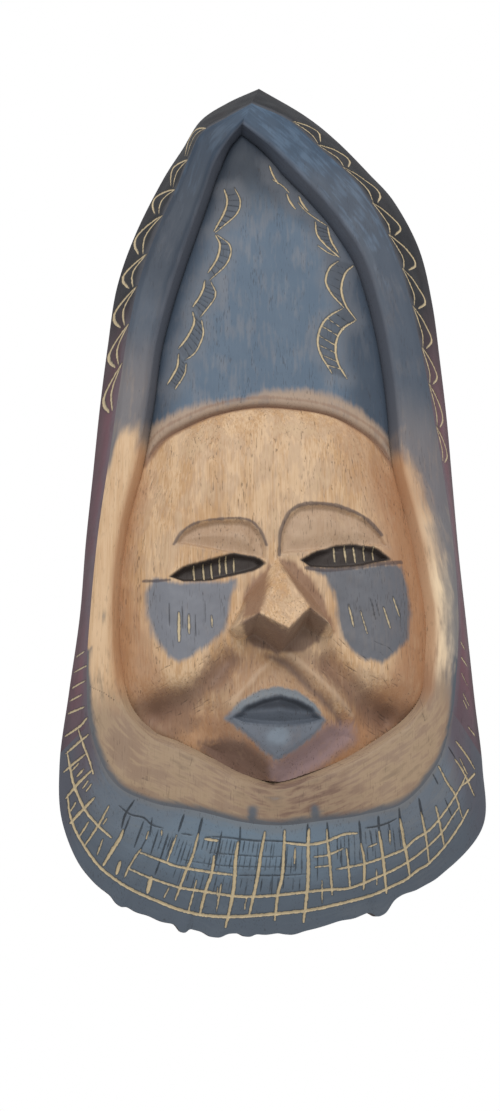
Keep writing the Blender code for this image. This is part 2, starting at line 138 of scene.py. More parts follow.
# ---- outlines of the stains on the face, in mm ---------------------------------------------------
LEFT_PATCH = [(-82, -219), (-86, -228), (-85, -242), (-80, -258), (-73, -268), (-65, -273), (-57, -269),
              (-47, -261), (-39, -252), (-35, -241), (-33, -230), (-31, -220), (-48, -222), (-64, -223)]
RIGHT_PATCH = [(14, -211), (25, -216), (30, -226), (32, -240), (35, -254), (41, -264), (49, -269),
               (60, -270), (71, -263), (79, -252), (82, -235), (81, -219), (77, -205), (63, -206),
               (49, -209), (33, -211)]
UNDER_NOSE = [(-30, -251), (-20, -247), (-3, -257), (11, -242), (24, -249), (20, -258), (10, -264),
              (-5, -266), (-20, -262)]
RIGHT_OF_NOSE = [(-4, -206), (6, -208), (16, -218), (26, -235), (30, -251), (11, -242), (3, -224)]
LEFT_OF_NOSE = [(-10, -210), (-20, -219), (-27, -232), (-29, -249), (-20, -247), (-12, -226)]
LEFT_HOLLOW = [(-96, -300), (-88, -290), (-70, -289), (-56, -283), (-42, -272), (-30, -262), (-24, -270),
               (-38, -284), (-52, -296), (-56, -310), (-66, -319), (-84, -312)]
RIGHT_HOLLOW = [(14, -268), (26, -268), (42, -283), (55, -292), (72, -292), (88, -296), (82, -306),
                (64, -313), (48, -307), (38, -297), (26, -286)]
CHIN_LEFT = [(-52, -319), (-38, -317), (-24, -320), (-8, -332), (-4, -346), (-15, -347), (-31, -341),
             (-44, -330)]
CHIN_RIGHT = [(-8, -332), (10, -320), (26, -308), (42, -306), (45, -316), (25, -332), (3, -346),
              (-8, -350)]
TAN_EDGE = [(-95, -128), (-84, -112), (-65, -101), (-49, -97), (-28, -94), (-11, -87), (3, -84),
            (20, -84), (37, -88), (54, -96), (71, -111), (84, -124)]

# ---- where the rim's stains change, in mm ---------------------------------------------------------
RIGHT_RIM_BLUE = [(118, 78), (134, 88), (152, 94), (171, 99), (198, 104), (232, 107), (265, 107),
                  (298, 108)]  # -z, x
LEFT_RIM_BLUE = [(-111, -143), (-106, -120), (-87, -113)]  # x, z
CRACK = [(-119, -286), (-110, -290), (-104, -294)]
NOTCHES = [([(-19, -360), (-20, -372)], 3.2), ([(19, -358), (21, -372)], 2.6)]  # line, half width

# ---- cuts on the crown field, in mm: light pairs of scallops with dark rungs between them ----------
LEFT_CHAIN = [
    [(-38, 67), (-36, 58), (-38, 48), (-45, 33)], [(-44, 30), (-41, 22), (-43, 11), (-49, 0)],
    [(-51, -6), (-53, -15), (-59, -26)], [(-59, -30), (-58, -38), (-62, -48), (-68, -57)],
    [(-68, -61), (-69, -71), (-75, -83)],
]
LEFT_CHAIN_MATES = [
    [(-31, 68), (-27, 57), (-30, 46), (-44, 32)], [(-43, 30), (-34, 21), (-36, 8), (-48, -6)],
    [(-47, -7), (-44, -18), (-54, -34)], [(-53, -36), (-52, -47), (-57, -60), (-64, -66)],
    [(-63, -68), (-64, -76), (-70, -87)],
]
RIGHT_JOINS = [
    [(-4, 77), (3, 73), (8, 67)], [(14, 60), (20, 53), (29, 47), (36, 44)], [(27, 26), (35, 21), (43, 19)],
]
RIGHT_CHAIN = [
    [(-6, 89), (-4, 82), (0, 74)], [(6, 66), (8, 60), (12, 54)], [(26, 46), (27, 35), (33, 27), (41, 20)],
    [(42, 16), (35, 9), (32, -2), (36, -11), (44, -20)],
    [(44, -21), (32, -30), (26, -43), (27, -56), (35, -71)],
]
RIGHT_CHAIN_MATES = [
    [(15, 66), (17, 60), (21, 54)], [(35, 43), (37, 32), (42, 22)],
    [(53, 15), (46, 6), (43, -7), (46, -19), (53, -29)],
    [(53, -29), (43, -37), (38, -49), (39, -62), (45, -74)],
]
RUNG_STEPS, RUNG_GAP = 24, 3  # steps along an arc, and from one rung to the next
PALE_BELOW = -20  # the rungs on the right lay pale wood bare below this height
CHAINS = [  # arcs, width
    (LEFT_CHAIN, 1.3), (LEFT_CHAIN_MATES, 0.9), (RIGHT_CHAIN, 1.3), (RIGHT_CHAIN_MATES, 1.4),
    (RIGHT_JOINS, 0.8),
]

# ---- cuts on the band round the rim, in mm along it from the apex ---------------------------------
LEFT_SCALLOPS = (44, 77, 104, 130, 165, 192, 222, 252, 285)
RIGHT_SCALLOPS = (36, 61, 91, 127, 155, 184, 214, 244, 271, 303, 328)
# Each scallop is two curves from cusp to cusp: shares of the way along, and of the band's width.
LEFT_CURVES = [[(0, 0.05), (0.4, 0.72), (0.65, 0.75), (1, 0.35)],
               [(0, 0.05), (0.4, 0.36), (0.65, 0.38), (1, 0.2)]]
RIGHT_CURVES = [[(0, 0.05), (0.4, 0.5), (0.7, 0.6), (1, 0.25)],
                [(0, 0.05), (0.4, 0.16), (0.7, 0.2), (1, 0.1)]]

# ---- cuts on the beard, in mm ---------------------------------------------------------------------
# Each long cut is its width and then the x and z of its points in turn.
ROUNDS = [
    (1.7, -130, -350, -128, -362, -122, -375, -111, -390, -100, -399, -88, -406, -71, -413, -60, -417,
     -46, -420, -31, -421, -10, -420, 20, -417, 44, -412, 59, -408, 71, -403, 80, -399, 88, -393,
     95, -389, 106, -378, 115, -366, 121, -356),
    (1.4, -92, -393, -80, -398, -61, -404, -48, -406, -27, -409, -9, -409, 12, -407, 31, -405, 44, -404,
     60, -398, 74, -392, 87, -384, 101, -372, 110, -360, 114, -355),
    (1.3, -85, -384, -71, -389, -62, -392, -44, -395, -27, -397),
    (1.3, 35, -393, 51, -390, 64, -386, 77, -381, 84, -375, 95, -368, 106, -355, 115, -342, 119, -335),
    (1.4, -47, -376, -39, -377), (1.4, 1, -378, 15, -379, 27, -377, 37, -373, 46, -372),
    (0.9, 20, -386, 28, -385, 38, -381), (0.7, 21, -392, 30, -391), (0.9, 54, -380, 59, -378),
    (1.4, -131, -325, -129, -334, -126, -345, -119, -359, -111, -368, -103, -375),
]
RADIALS = [
    (1.9, -96, -371, -98, -376, -103, -384, -107, -391), (2.0, -97, -389, -99, -396),
    (1.1, -85, -382, -88, -386, -92, -393, -94, -398), (2.4, -78, -398, -79, -402, -80, -407),
    (0.9, -64, -374, -69, -389), (1.4, -51, -373, -54, -386, -58, -396, -61, -405, -63, -411),
    (1.7, -41, -386, -42, -396, -44, -402, -46, -410, -48, -420), (0.9, -36, -402, -38, -418),
    (0.9, -51, -400, -55, -418), (0.7, -67, -404, -70, -410),
    (2.1, -27, -378, -28, -389, -28, -399, -29, -411, -32, -427), (0.6, -20, -409, -21, -417),
    (1.8, -11, -372, -13, -386, -14, -397, -16, -409, -18, -420),
    (1.8, 1, -371, 1, -396, -1, -407, -2, -423), (1.0, 8, -381, 8, -390),
    (2.0, 16, -370, 16, -380, 17, -396, 17, -408, 16, -424), (0.7, 26, -400, 27, -413),
    (1.5, 27, -370, 28, -378, 30, -388, 33, -408), (1.1, 40, -381, 42, -391, 44, -404),
    (1.5, 49, -378, 52, -389, 53, -405), (1.9, 60, -371, 63, -382, 65, -391, 68, -407),
    (0.6, 60, -393, 61, -402), (1.7, 73, -363, 77, -377, 80, -386, 83, -397), (0.8, 67, -370, 68, -378),
    (1.4, 87, -359, 92, -375, 95, -388), (1.4, 97, -355, 101, -366, 105, -378),
    (1.2, 98, -331, 104, -340, 111, -348, 117, -361), (1.2, 110, -326, 116, -332, 122, -341, 126, -347),
    (0.9, 114, -325, 120, -334), (1.5, -116, -336, -124, -343, -131, -351),
    (1.7, -114, -352, -120, -358, -128, -366), (1.2, -105, -357, -111, -368, -119, -380),
    (1.0, -117, -366, -122, -374), (0.9, -125, -354, -128, -359), (0.9, -124, -331, -128, -335),
    (1.1, -121, -335, -125, -339), (0.8, -118, -342, -121, -346), (0.8, -116, -344, -119, -348),
    (0.8, -106, -364, -108, -367), (0.8, -108, -376, -111, -385), (0.8, -81, -372, -82, -376),
    (0.7, -73, -371, -73, -374), (0.7, -38, -404, -38, -409),
]
SIDE_CUTS = [
    (0.9, -123, -263, -128, -263), (0.9, -120, -273, -129, -273), (1.1, -122, -282, -130, -283),
    (1.1, -124, -290, -131, -291), (1.2, -122, -298, -132, -299),
    (1.4, -120, -305, -124, -309, -133, -313), (1.4, -119, -315, -132, -324),
    (1.4, -120, -326, -133, -335), (1.0, -125, -311, -121, -322, -118, -329, -115, -338),
    (1.1, 117, -251, 122, -254), (1.2, 117, -261, 124, -264), (0.6, 117, -271, 123, -277),
    (0.9, 118, -284, 124, -290), (0.7, 118, -288, 122, -293), (0.8, 122, -304, 129, -309),
    (1.2, 111, -315, 118, -321, 127, -330), (1.4, 115, -342, 121, -338, 127, -333),
    (2.0, 99, -318, 96, -327),
]
LIGHT_CUTS = ROUNDS + RADIALS + SIDE_CUTS
DARK_CUTS = [
    (1.0, -99, -357, -92, -362, -84, -364, -79, -368, -72, -370), (0.9, -61, -373, -54, -374),
    (1.1, -47, -375, -37, -375, -17, -377, -8, -377, 14, -378), (0.8, -44, -384, -15, -386, 0, -386),
    (0.7, -60, -388, -40, -391, -20, -392, 10, -392), (0.9, -26, -397, 0, -397, 16, -396),
    (1.1, 51, -369, 58, -368, 65, -366, 71, -363), (1.3, -90, -354, -95, -362, -97, -370),
    (1.4, -60, -362, -63, -372), (1.0, -73, -388, -76, -397), (1.6, -49, -364, -51, -374),
    (1.2, -37, -372, -39, -384, -41, -395), (1.2, -26, -369, -26, -378, -27, -388),
    (1.2, 0, -372, 2, -386, 2, -400), (1.4, 15, -367, 15, -378), (1.4, 27, -366, 29, -380),
    (1.5, 47, -365, 49, -378), (1.6, 59, -362, 60, -370), (0.9, 66, -366, 67, -370),
    (1.5, 72, -357, 74, -368, 78, -378), (1.6, 85, -351, 88, -362), (0.9, 94, -336, 98, -342),
    (0.9, 103, -350, 110, -362), (0.9, -79, -364, -80, -375), (0.8, -82, -376, -87, -386),
    (0.9, 105, -319, 110, -325), (1.0, -84, -366, -89, -381), (1.0, -92, -363, -97, -376),
    (0.9, -75, -371, -79, -385), (1.0, -69, -373, -74, -391), (0.8, -66, -375, -70, -388),
    (0.8, 54, -370, 57, -382), (0.8, 36, -376, 38, -392), (0.7, 22, -380, 23, -400),
    (0.8, -12, -373, -14, -388, -16, -402), (0.8, 41, -381, 43, -391), (0.7, -5, -396, -5, -409),
]
SHORT_STEPS = 5  # steps along a short cut
SHORT_CUTS = [  # rows of short dark cuts between them: start, end, count, reach
    ((-72, -374), (-55, -378), 8, 13), ((-50, -376), (-4, -378), 18, 9), ((-46, -386), (12, -387), 20, 10),
    ((-64, -393), (-30, -399), 9, 9), ((34, -374), (72, -368), 12, 12), ((4, -380), (26, -380), 6, 14),
    ((-24, -399), (12, -399), 9, 9), ((36, -383), (58, -380), 6, 8),
]

# ---- cuts and dark lines on the face, in mm ---------------------------------------------------------
LIGHT_TICKS = [  # x, z, length, lean, width
    (-57, -216, 9, 0.5, 1.0), (-51, -215, 10, 0.5, 1.1), (-46, -214, 10, 0.5, 1.1), (-41, -211, 10, 0.4, 1.0),
    (-37, -210, 10, 0.4, 1.0), (-32, -210, 10, 0.3, 0.9), (32, -201, 10, 0.4, 1.0), (39, -200, 11, 0.4, 1.1),
    (45, -200, 10, 0.5, 1.0), (51, -199, 9, 0.5, 0.9), (57, -199, 8, 0.5, 0.8),
    (-66, -251, 18, 0.2, 1.6), (-60, -249, 12, 0.2, 1.2), (-46, -247, 7, 0.2, 0.9),
    (41, -241, 14, 1.5, 1.0), (49, -245, 14, 2.0, 0.7), (64, -241, 13, 2.2, 1.0), (71, -233, 12, 2.0, 0.9),
]
DARK_TICKS = [  # x, z, length, lean
    (-72, -243, 14, 0.3), (-64, -245, 14, 0.3), (-56, -250, 14, 0.3), (-50, -241, 14, 0.2),
    (55, -236, 14, 1.6), (58, -236, 12, 1.4), (73, -235, 12, 1.4),
]
CREASES = [  # lines and half widths
    (LEFT_BROW[:8], 0.1), (RIGHT_BROW[:9], 0.4),
    ([(-88, -220), (-80, -221), (-72, -221)], 0.2),
    ([(13, -211), (26, -212), (42, -210), (62, -206), (77, -202)], 0.5),
]
TICK_WIDTH = 0.7  # width of the dark ticks
LINE_STEPS, TICK_STEPS = 6, 6  # steps to a stretch of a dark line, and along a tick
SCRATCHES = [  # seed, count, middle, spread, length, turn
    (61, 90, (0, -160), (85, 60), 9, 0.0), (62, 25, (-60, -290), (25, 30), 9, 1.0),
    (64, 25, (50, -285), (25, 30), 9, -1.0),
]
RIM_SCRATCHES = [  # the same, and their width
    (63, 110, (0, -210), (125, 130), 10, 0.0, 0.45), (65, 34, (-10, -342), (85, 20), 11, math.pi / 2, 0.35),
]

# ---- the stage, in m ----------------------------------------------------------------------------------
TARGET = Vector((-0.0195, -0.035, -0.1973))  # what the camera looks at
KEY_PLACE, KEY_TARGET, KEY_SIZE = Vector((-0.25, -2.5, 1.5)), Vector((0, 0, -0.15)), 1.6

# ---- the back, in mm ----------------------------------------------------------------------------------
BACK_RIM = 29.0  # width of the flat rim left round the hollow
CROWN_RADIUS, CROWN_BLEND = 56.0, 50.0  # radius of the hollow's upper end, and the height it takes
SPINE_ENDS = (-330.0, 60.0)  # ends of the hollow's middle line
HOLLOW_DEPTHS = [(-400, 15), (-325, 16), (-265, 31), (-150, 31), (-60, 14), (170, 14)]  # z, depth
SIDE_BANDS, FLAT_BANDS, HOLLOW_BANDS = 5, 4, 20  # rows up the block's edge, over the flat and inwards


def srgb(code):
    """A linear colour from six hexadecimal digits."""
    parts = (int(code[i : i + 2], 16) / 255 for i in (0, 2, 4))
    return tuple(((p + 0.055) / 1.055) ** 2.4 if p > 0.04045 else p / 12.92 for p in parts)


# ---- lines and distances --------------------------------------------------------------------------
def through(points, steps=8):
    """A Catmull-Rom line through the points. The steps are one number, or one for each stretch."""
    p = np.array(points, float)
    p = np.vstack([2 * p[0] - p[1], p, 2 * p[-1] - p[-2]])
    line = []
    for a, b, c, d, count in zip(p[:-3], p[1:-2], p[2:-1], p[3:], np.broadcast_to(steps, len(p) - 3)):
        t = (np.arange(count) / count)[:, None]
        cubic = (3 * b - a - 3 * c + d) * t**3 + (2 * a - 5 * b + 4 * c - d) * t**2
        line.append(b + 0.5 * ((c - a) * t + cubic))
    return np.vstack(line + [p[-2:-1]])


def lengths(line):
    """Length along a line up to each of its points."""
    return np.concatenate([[0], np.cumsum(np.linalg.norm(np.diff(line, axis=0), axis=1))])


def evenly(count, *lines):
    """Lines of matching points, each resampled at the same even steps of their mean length."""
    along = sum(lengths(line) for line in lines)
    at = np.linspace(0, along[-1], count + 1)
    return [np.stack([np.interp(at, along, axis) for axis in line.T], 1) for line in lines]


def nearest(line, x, z, half=0.0):
    """Smallest distance to a line of straight stretches, less the half width stated at each point."""
    line = np.array(line, float)
    half = np.broadcast_to(half, len(line))
    best = np.full(np.shape(x), np.inf)
    for (ax, az), (bx, bz), ha, hb in zip(line[:-1], line[1:], half[:-1], half[1:]):
        length = (bx - ax) ** 2 + (bz - az) ** 2 + 1e-12
        t = np.clip(((x - ax) * (bx - ax) + (z - az) * (bz - az)) / length, 0, 1)
        away = np.hypot(x - ax - t * (bx - ax), z - az - t * (bz - az))
        best = np.minimum(best, away - ha - t * (hb - ha))
    return best


def near(points, x, z, reach):
    """Which (x, z) lie within a reach of the points' bounding box."""
    (x_low, z_low), (x_high, z_high) = np.min(points, 0) - reach, np.max(points, 0) + reach
    return (x > x_low) & (x < x_high) & (z > z_low) & (z < z_high)


def inside(loop, x, z, reach=20.0):
    """Signed distance to a closed loop: positive inside it, and no lower than minus the reach."""
    found = np.full(np.shape(x), -reach)
    close = near(loop, x, z, reach)
    px, pz = x[close], z[close]
    loop = np.array([*loop, loop[0]], float)
    within = np.zeros(px.shape, bool)
    for (ax, az), (bx, bz) in zip(loop[:-1], loop[1:]):
        crosses = (az > pz) != (bz > pz)
        within ^= crosses & (px < ax + (bx - ax) * (pz - az) / (bz - az + 1e-12))
    away = nearest(loop, px, pz)
    found[close] = np.maximum(np.where(within, away, -away), -reach)
    return found


def stroke(field, x, z, line, width, ends=0.3):
    """Adds a cut to a field of signed distances: its width tapers to a share of itself at its ends."""
    line = np.array(line, float)
    share = lengths(line) / max(lengths(line)[-1], 1e-9)
    half = width / 2 * (ends + (1 - ends) * np.sqrt(np.sin(np.pi * np.clip(share, 0, 1)).clip(0)))
    close = near(line, x, z, CUT_REACH)
    field[close] = np.maximum(field[close], -nearest(line, x[close], z[close], half))


def strokes(field, x, z, cuts, ends):
    """Adds a table of cuts. Each is a width and then the x and z of its points in turn."""
    for width, *numbers in cuts:
        stroke(field, x, z, through(np.reshape(numbers, (-1, 2))), width, ends)


def tick(field, x, z, at_x, at_z, length, lean, width):
    """Adds a short straight cut, nearly upright, about its middle."""
    ends = (at_x - lean, at_z + length / 2), (at_x + lean, at_z - length / 2)
    stroke(field, x, z, evenly(TICK_STEPS, np.array(ends, float))[0], width, 0.5)


def scratches(field, x, z, seed, count, middle, spread, length, turn=0.0, width=0.45):
    """Adds fine seeded strokes to a field, scattered about a middle point. They stand upright at turn 0."""
    rng = np.random.default_rng(seed)
    for _ in range(count):
        foot = np.array(middle) + rng.uniform(-1, 1, 2) * spread
        angle, reach = turn + rng.normal(0, 0.16), rng.uniform(0.4, 1.2) * length
        way = np.array([math.sin(angle), math.cos(angle)]) * reach
        bow = np.array([way[1], -way[0]]) * rng.normal(0, 0.05)
        stroke(field, x, z, [foot, foot + way / 2 + bow, foot + way], width * rng.uniform(0.6, 1.3), 0.2)


def beyond(line, x, z):
    """Distance out past the right-hand side of a line of two points, and 0 on its left."""
    (ax, az), (bx, bz) = line
    out = (x - ax) * (bz - az) - (z - az) * (bx - ax)
    return np.maximum(out, 0) / math.hypot(bx - ax, bz - az)


def shoulder(share):
    """A quarter circle: 0 at 0, steep at first, flat at 1 and beyond."""
    return np.sqrt(1 - (1 - np.clip(share, 0, 1)) ** 2)


def smooth(share):
    """Smooth step from 0 to 1."""
    share = np.clip(share, 0, 1)
    return share * share * (3 - 2 * share)


def bell(distance, reach):
    """A bell curve: 1 at no distance, and about a third at the reach."""
    return np.exp(-((distance / reach) ** 2))


def smooth_max(a, b, blend):
    """The larger of two heights, with a rounded join."""
    share = np.clip(0.5 + 0.5 * (a - b) / blend, 0, 1)
    return b + (a - b) * share + blend * share * (1 - share)


def ripple(x, z, seed, size, waves=7):
    """A sum of seeded sine waves of about one length, between about -1 and 1."""
    rng = np.random.default_rng(seed)
    total = np.zeros(np.shape(x))
    for _ in range(waves):
        angle, phase = rng.uniform(0, math.tau, 2)
        turn = math.tau / (size * rng.uniform(0.7, 1.5))
        total += np.sin((x * math.cos(angle) + z * math.sin(angle)) * turn + phase)
    return total / math.sqrt(waves) / 1.5


def inward(line, amounts):
    """The closed line moved towards its inside by an amount at each point, with mitred corners."""
    along = np.diff(line, axis=0)
    along /= np.linalg.norm(along, axis=1)[:, None]
    after = np.stack([-along[:, 1], along[:, 0]], 1)
    before = np.roll(after, 1, 0)
    mitre = (after + before) / (1 + (after * before).sum(1))[:, None]
    moved = line[:-1] + mitre * amounts[:-1, None]
    return np.vstack([moved, moved[:1]])


def carving_lines():
    """The closed lines that the pieces share, from the apex down the left side and round."""
    half = [CROWN_STEPS] * CROWN_SPANS + [FACE_STEPS] * FACE_SPANS
    steps = half + [BASE_STEPS] * BASE_SPANS + half[::-1]
    outline, outer, inner = (through(line, steps) for line in (OUTLINE, RIM_OUTER, RIM_INNER))
    worn = smooth((-385 - outline[:, 1]) / 25) * WEAR
    x, flat = outline[:, 0], 0 * worn
    waves, nicks = ripple(x, flat, seed=5, size=55), ripple(x, flat, seed=6, size=13, waves=14)
    outline[:, 1] += worn * (waves + 0.35 * nicks)
    for at, reach, drop in CHIPS:
        outline[:, 1] -= drop * np.exp(-np.abs((x - at) / reach) ** 3) * (outline[:, 1] < -380)
    from_apex = inner[0, 1] - inner[:, 1]
    valley = inward(inner, WALL_WIDTH * np.clip(from_apex / APEX_TAPER, APEX_WALL, 1))
    left, right = valley[CROWN_ROWS], valley[-1 - CROWN_ROWS]
    arch = evenly(COLUMNS, through([left, *BROW_ARCH, right], 24))[0]
    return SimpleNamespace(outline=outline, outer=outer, inner=inner, valley=valley, arch=arch)


# ---- meshes ---------------------------------------------------------------------------------------
def patch(left, right, top, base):
    """A Coons patch: rows run from the top line to the base line, columns from left to right."""
    u, v = np.linspace(0, 1, len(base))[None, :, None], np.linspace(0, 1, len(left))[:, None, None]
    sides = left[:, None] * (1 - u) + right[:, None] * u
    ends = top[None] * (1 - v) + base[None] * v
    upper, lower = top[0] * (1 - u) + top[-1] * u, base[0] * (1 - u) + base[-1] * u
    return sides + ends - upper * (1 - v) - lower * v


def make_piece(context, name, points, heights, fields, wood, closed=False, merge=False):
    """A mesh from a grid of (x, z) points in mm and the heights above the back at them.
    A closed grid's last column joins its first. Each field is stored as a float attribute."""
    rows, columns = heights.shape
    r, c = np.arange(rows - 1)[:, None], np.arange(columns if closed else columns - 1)[None]
    following = (c + 1) % columns
    corners = [r * columns + c, (r + 1) * columns + c, (r + 1) * columns + following, r * columns + following]
    quads = np.stack(corners, -1).reshape(-1, 4)
    verts = np.stack([points[..., 0], -heights, points[..., 1]], -1).reshape(-1, 3) * MM
    mesh = bpy.data.meshes.new(name)
    mesh.from_pydata(verts, [], quads)
    for label, values in fields.items():
        attribute = mesh.attributes.new(label, "FLOAT", "POINT")
        attribute.data.foreach_set("value", np.ascontiguousarray(values, np.float32).ravel())
    if merge:
        bm = bmesh.new()
        bm.from_mesh(mesh)
        bmesh.ops.remove_doubles(bm, verts=bm.verts, dist=1e-6)
        bm.to_mesh(mesh)
        bm.free()
    mesh.shade_smooth()
    mesh.materials.append(wood)
    obj = bpy.data.objects.new(name, mesh)
    context.scene.collection.objects.link(obj)
    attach(obj, "mask")
    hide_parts("mask_body")


# ---- the form of the face, in mm above the back -----------------------------------------------------
def nose_height(form, x, z):
    """A plane rising towards the tip, less what its sides, its wings and its undercut take off."""
    drop = (NOSE_TOP[1] - z) / (NOSE_TOP[1] - NOSE_TIP[1])
    plane = form.nose_top + (form.nose_tip - form.nose_top) * np.minimum(drop, 1)
    side = np.maximum(beyond([NOSE_TOP, NOSE_LEFT], x, z), beyond([NOSE_RIGHT, NOSE_TOP], x, z))
    wing = np.maximum(beyond(LEFT_WING, x, z), beyond(RIGHT_WING[::-1], x, z))
    under = np.maximum(np.interp(x, *zip(*NOSE_UNDER)) - z, 0)
    return plane - NOSE_SLOPES[0] * side - NOSE_SLOPES[1] * wing - NOSE_SLOPES[2] * under


def valley_level(form, z):
    """Height of the foot of the wall inside the rim: it rises a little towards the chin."""
    return form.valley_height + np.interp(z, *zip(*VALLEY))


def border_shape(form, x, z, lines):
    """Distances to the wall and to the brow arch, and the crown's height. It rises from the wall by
    the product over the sum of the distances to its two sides, which leaves no ridge between them."""
    half = len(lines.valley) // 2
    left = nearest(lines.valley[: half + 1 : 6], x, z).clip(0)
    right = nearest(np.vstack([lines.valley[half::6], lines.valley[:1]]), x, z).clip(0)
    from_wall = np.minimum(left, right)
    from_arch = nearest(lines.arch[::4], x, z).clip(0)
    rise = form.crown_rise * shoulder(left * right / (left + right + 1e-9) / CROWN_REACH)
    edge = np.clip(from_wall / EDGE_REACH, 0, 1)
    return from_wall, from_arch, edge, valley_level(form, z) + rise


def crown_height(form, x, z, lines):
    """The crown's swell, with a groove along the brow arch and a soft lip above the groove."""
    from_wall, from_arch, edge, height = border_shape(form, x, z, lines)
    groove = form.groove_depth * bell(from_arch, 2)
    lip = 1.2 * (1 - bell(from_arch, 5)) * bell(from_arch, 9)
    return from_wall, from_arch, height + edge * (lip - groove) + 0.25 * edge * ripple(x, z, seed=11, size=17)


def face_height(form, x, z, lines):
    """The face swells from the wall and from the groove of the arch. Its hollows and folds are taken
    out, the muzzle (a pyramid with rounded edges) and the nose rise from it, and then its lids, eyes,
    lips and chin are cut."""
    from_wall, from_arch, edge, crown = border_shape(form, x, z, lines)
    low = crown - form.groove_depth * edge
    level = valley_level(form, z)
    top = form.valley_height + form.face_rise
    full = level + (top - level) * np.sin(np.pi / 2 * np.clip(from_wall / FACE_REACH, 0, 1))
    height = low + (full - low) * shoulder(from_arch / ARCH_REACH)
    for cx, cz, half_x, half_z, depth in CHEEK_HOLLOWS:
        height = height - depth * np.exp(-(((x - cx) / half_x) ** 2) - ((z - cz) / half_z) ** 2)
    for fold in FOLDS:
        height = height - form.fold_depth * bell(nearest(fold, x, z), FOLD_REACH)
    across = np.abs(x - MUZZLE_CENTRE[0]) / MUZZLE_REACH[0]
    down = np.abs(z - MUZZLE_CENTRE[1]) / MUZZLE_REACH[1]
    muzzle = form.muzzle_height - MUZZLE_FALL * (across + down + np.hypot(across, down)) / 2
    height = smooth_max(height, muzzle, 8)
    for line, depth in zip(MUZZLE_LINES, (3.0, 1.2)):
        height = height - depth * bell(nearest(line, x, z), MUZZLE_CUT_REACH)
    for line in RIDGES:
        height = height + RIDGE_HEIGHT * bell(nearest(line, x, z), RIDGE_REACH)
    for brow, eye in ((LEFT_BROW, LEFT_EYE), (RIGHT_BROW, RIGHT_EYE)):
        lid = inside(brow, x, z)
        height = height - form.lid_depth * smooth(lid / 3) + 2.0 * smooth((lid - 3) / 9)
        height = height - form.eye_depth * smooth(0.2 + inside(eye, x, z) / 3)
    height = smooth_max(height, nose_height(form, x, z), 2.5)
    height = height + 1.0 * smooth(inside(LIPS, x, z) / 2.5)
    height = height - form.mouth_depth * smooth(inside(MOUTH, x, z) / 3.5)
    for side in (CHIN_LEFT, CHIN_RIGHT):
        height = height - 3.0 * smooth(inside(side, x, z) / 8)
    tooled = 0.4 * ripple(x, z, seed=21, size=15, waves=12) + 0.08 * ripple(x, z, seed=22, size=6, waves=16)
    height = height + tooled * edge * np.clip(from_arch / 6, 0, 1)
    at_border = np.minimum(from_wall, from_arch) < 1e-6
    return from_wall, from_arch, np.where(at_border, low, np.maximum(height, LOWEST))


# ---- shader groups ----------------------------------------------------------------------------------
UNDER = {"Vector": None, "Under": (0.6, 0.4, 0.25, 1)}  # inputs of every group that paints over a colour


def feed(tree, target, value):
    """Links an output to a socket, or sets the socket to a constant."""
    if isinstance(value, bpy.types.NodeSocket):
        tree.links.new(value, target)
    else:
        target.default_value = value


def calc(tree, operation, *values, clamp=False):
    """The output of a new math node."""
    node = tree.nodes.new("ShaderNodeMath")
    node.operation, node.use_clamp = operation, clamp
    for target, value in zip(node.inputs, values):
        feed(tree, target, value)
    return node.outputs[0]


def add(tree, a, b, clamp=False):
    """The sum of two values."""
    return calc(tree, "ADD", a, b, clamp=clamp)


def minus(tree, a, b):
    """The first value less the second."""
    return calc(tree, "SUBTRACT", a, b)


def times(tree, product, *values):
    """The product of all the values."""
    for value in values:
        product = calc(tree, "MULTIPLY", product, value)
    return product


def step_up(tree, value, low, high):
    """Smooth step: 0 below low, 1 above high."""
    node = tree.nodes.new("ShaderNodeMapRange")
    node.interpolation_type = "SMOOTHSTEP"
    for label, given in (("Value", value), ("From Min", low), ("From Max", high)):
        feed(tree, node.inputs[label], given)
    return node.outputs[0]


def blend(tree, factor, a, b):
    """The colour a at factor 0, and b at 1."""
    node = tree.nodes.new("ShaderNodeMix")
    node.data_type = "RGBA"
    for index, given in ((0, factor), (6, a), (7, b)):
        feed(tree, node.inputs[index], given)
    return node.outputs[2]


def scaled(tree, vector, scale, away=0.0):
    """A vector times a scale for each axis, moved by the same amount along all three."""
    node = tree.nodes.new("ShaderNodeMapping")
    feed(tree, node.inputs["Vector"], vector)
    node.inputs["Scale"].default_value = scale
    node.inputs["Location"].default_value = (away, away, away)
    return node.outputs[0]


def millimetres(tree):
    """Object coordinates in millimetres."""
    return scaled(tree, tree.nodes.new("ShaderNodeTexCoord").outputs["Object"], (1 / MM, 1 / MM, 1 / MM))


def noise(tree, vector, across, along, detail=3.0, away=0.0):
    """Noise in millimetres, stretched along the wood's length. Its lumps are across by along in size."""
    texture = tree.nodes.new("ShaderNodeTexNoise")
    feed(tree, texture.inputs["Vector"], scaled(tree, vector, (1 / across, 1 / across, 1 / along), away))
    texture.inputs["Scale"].default_value = 1.0
    texture.inputs["Detail"].default_value = detail
    return texture.outputs["Fac"]


def attribute(tree, label):
    """The value of one of the piece's attributes, or the number given in its place."""
    if not isinstance(label, str):
        return label
    node = tree.nodes.new("ShaderNodeAttribute")
    node.attribute_name = label
    return node.outputs["Fac"]


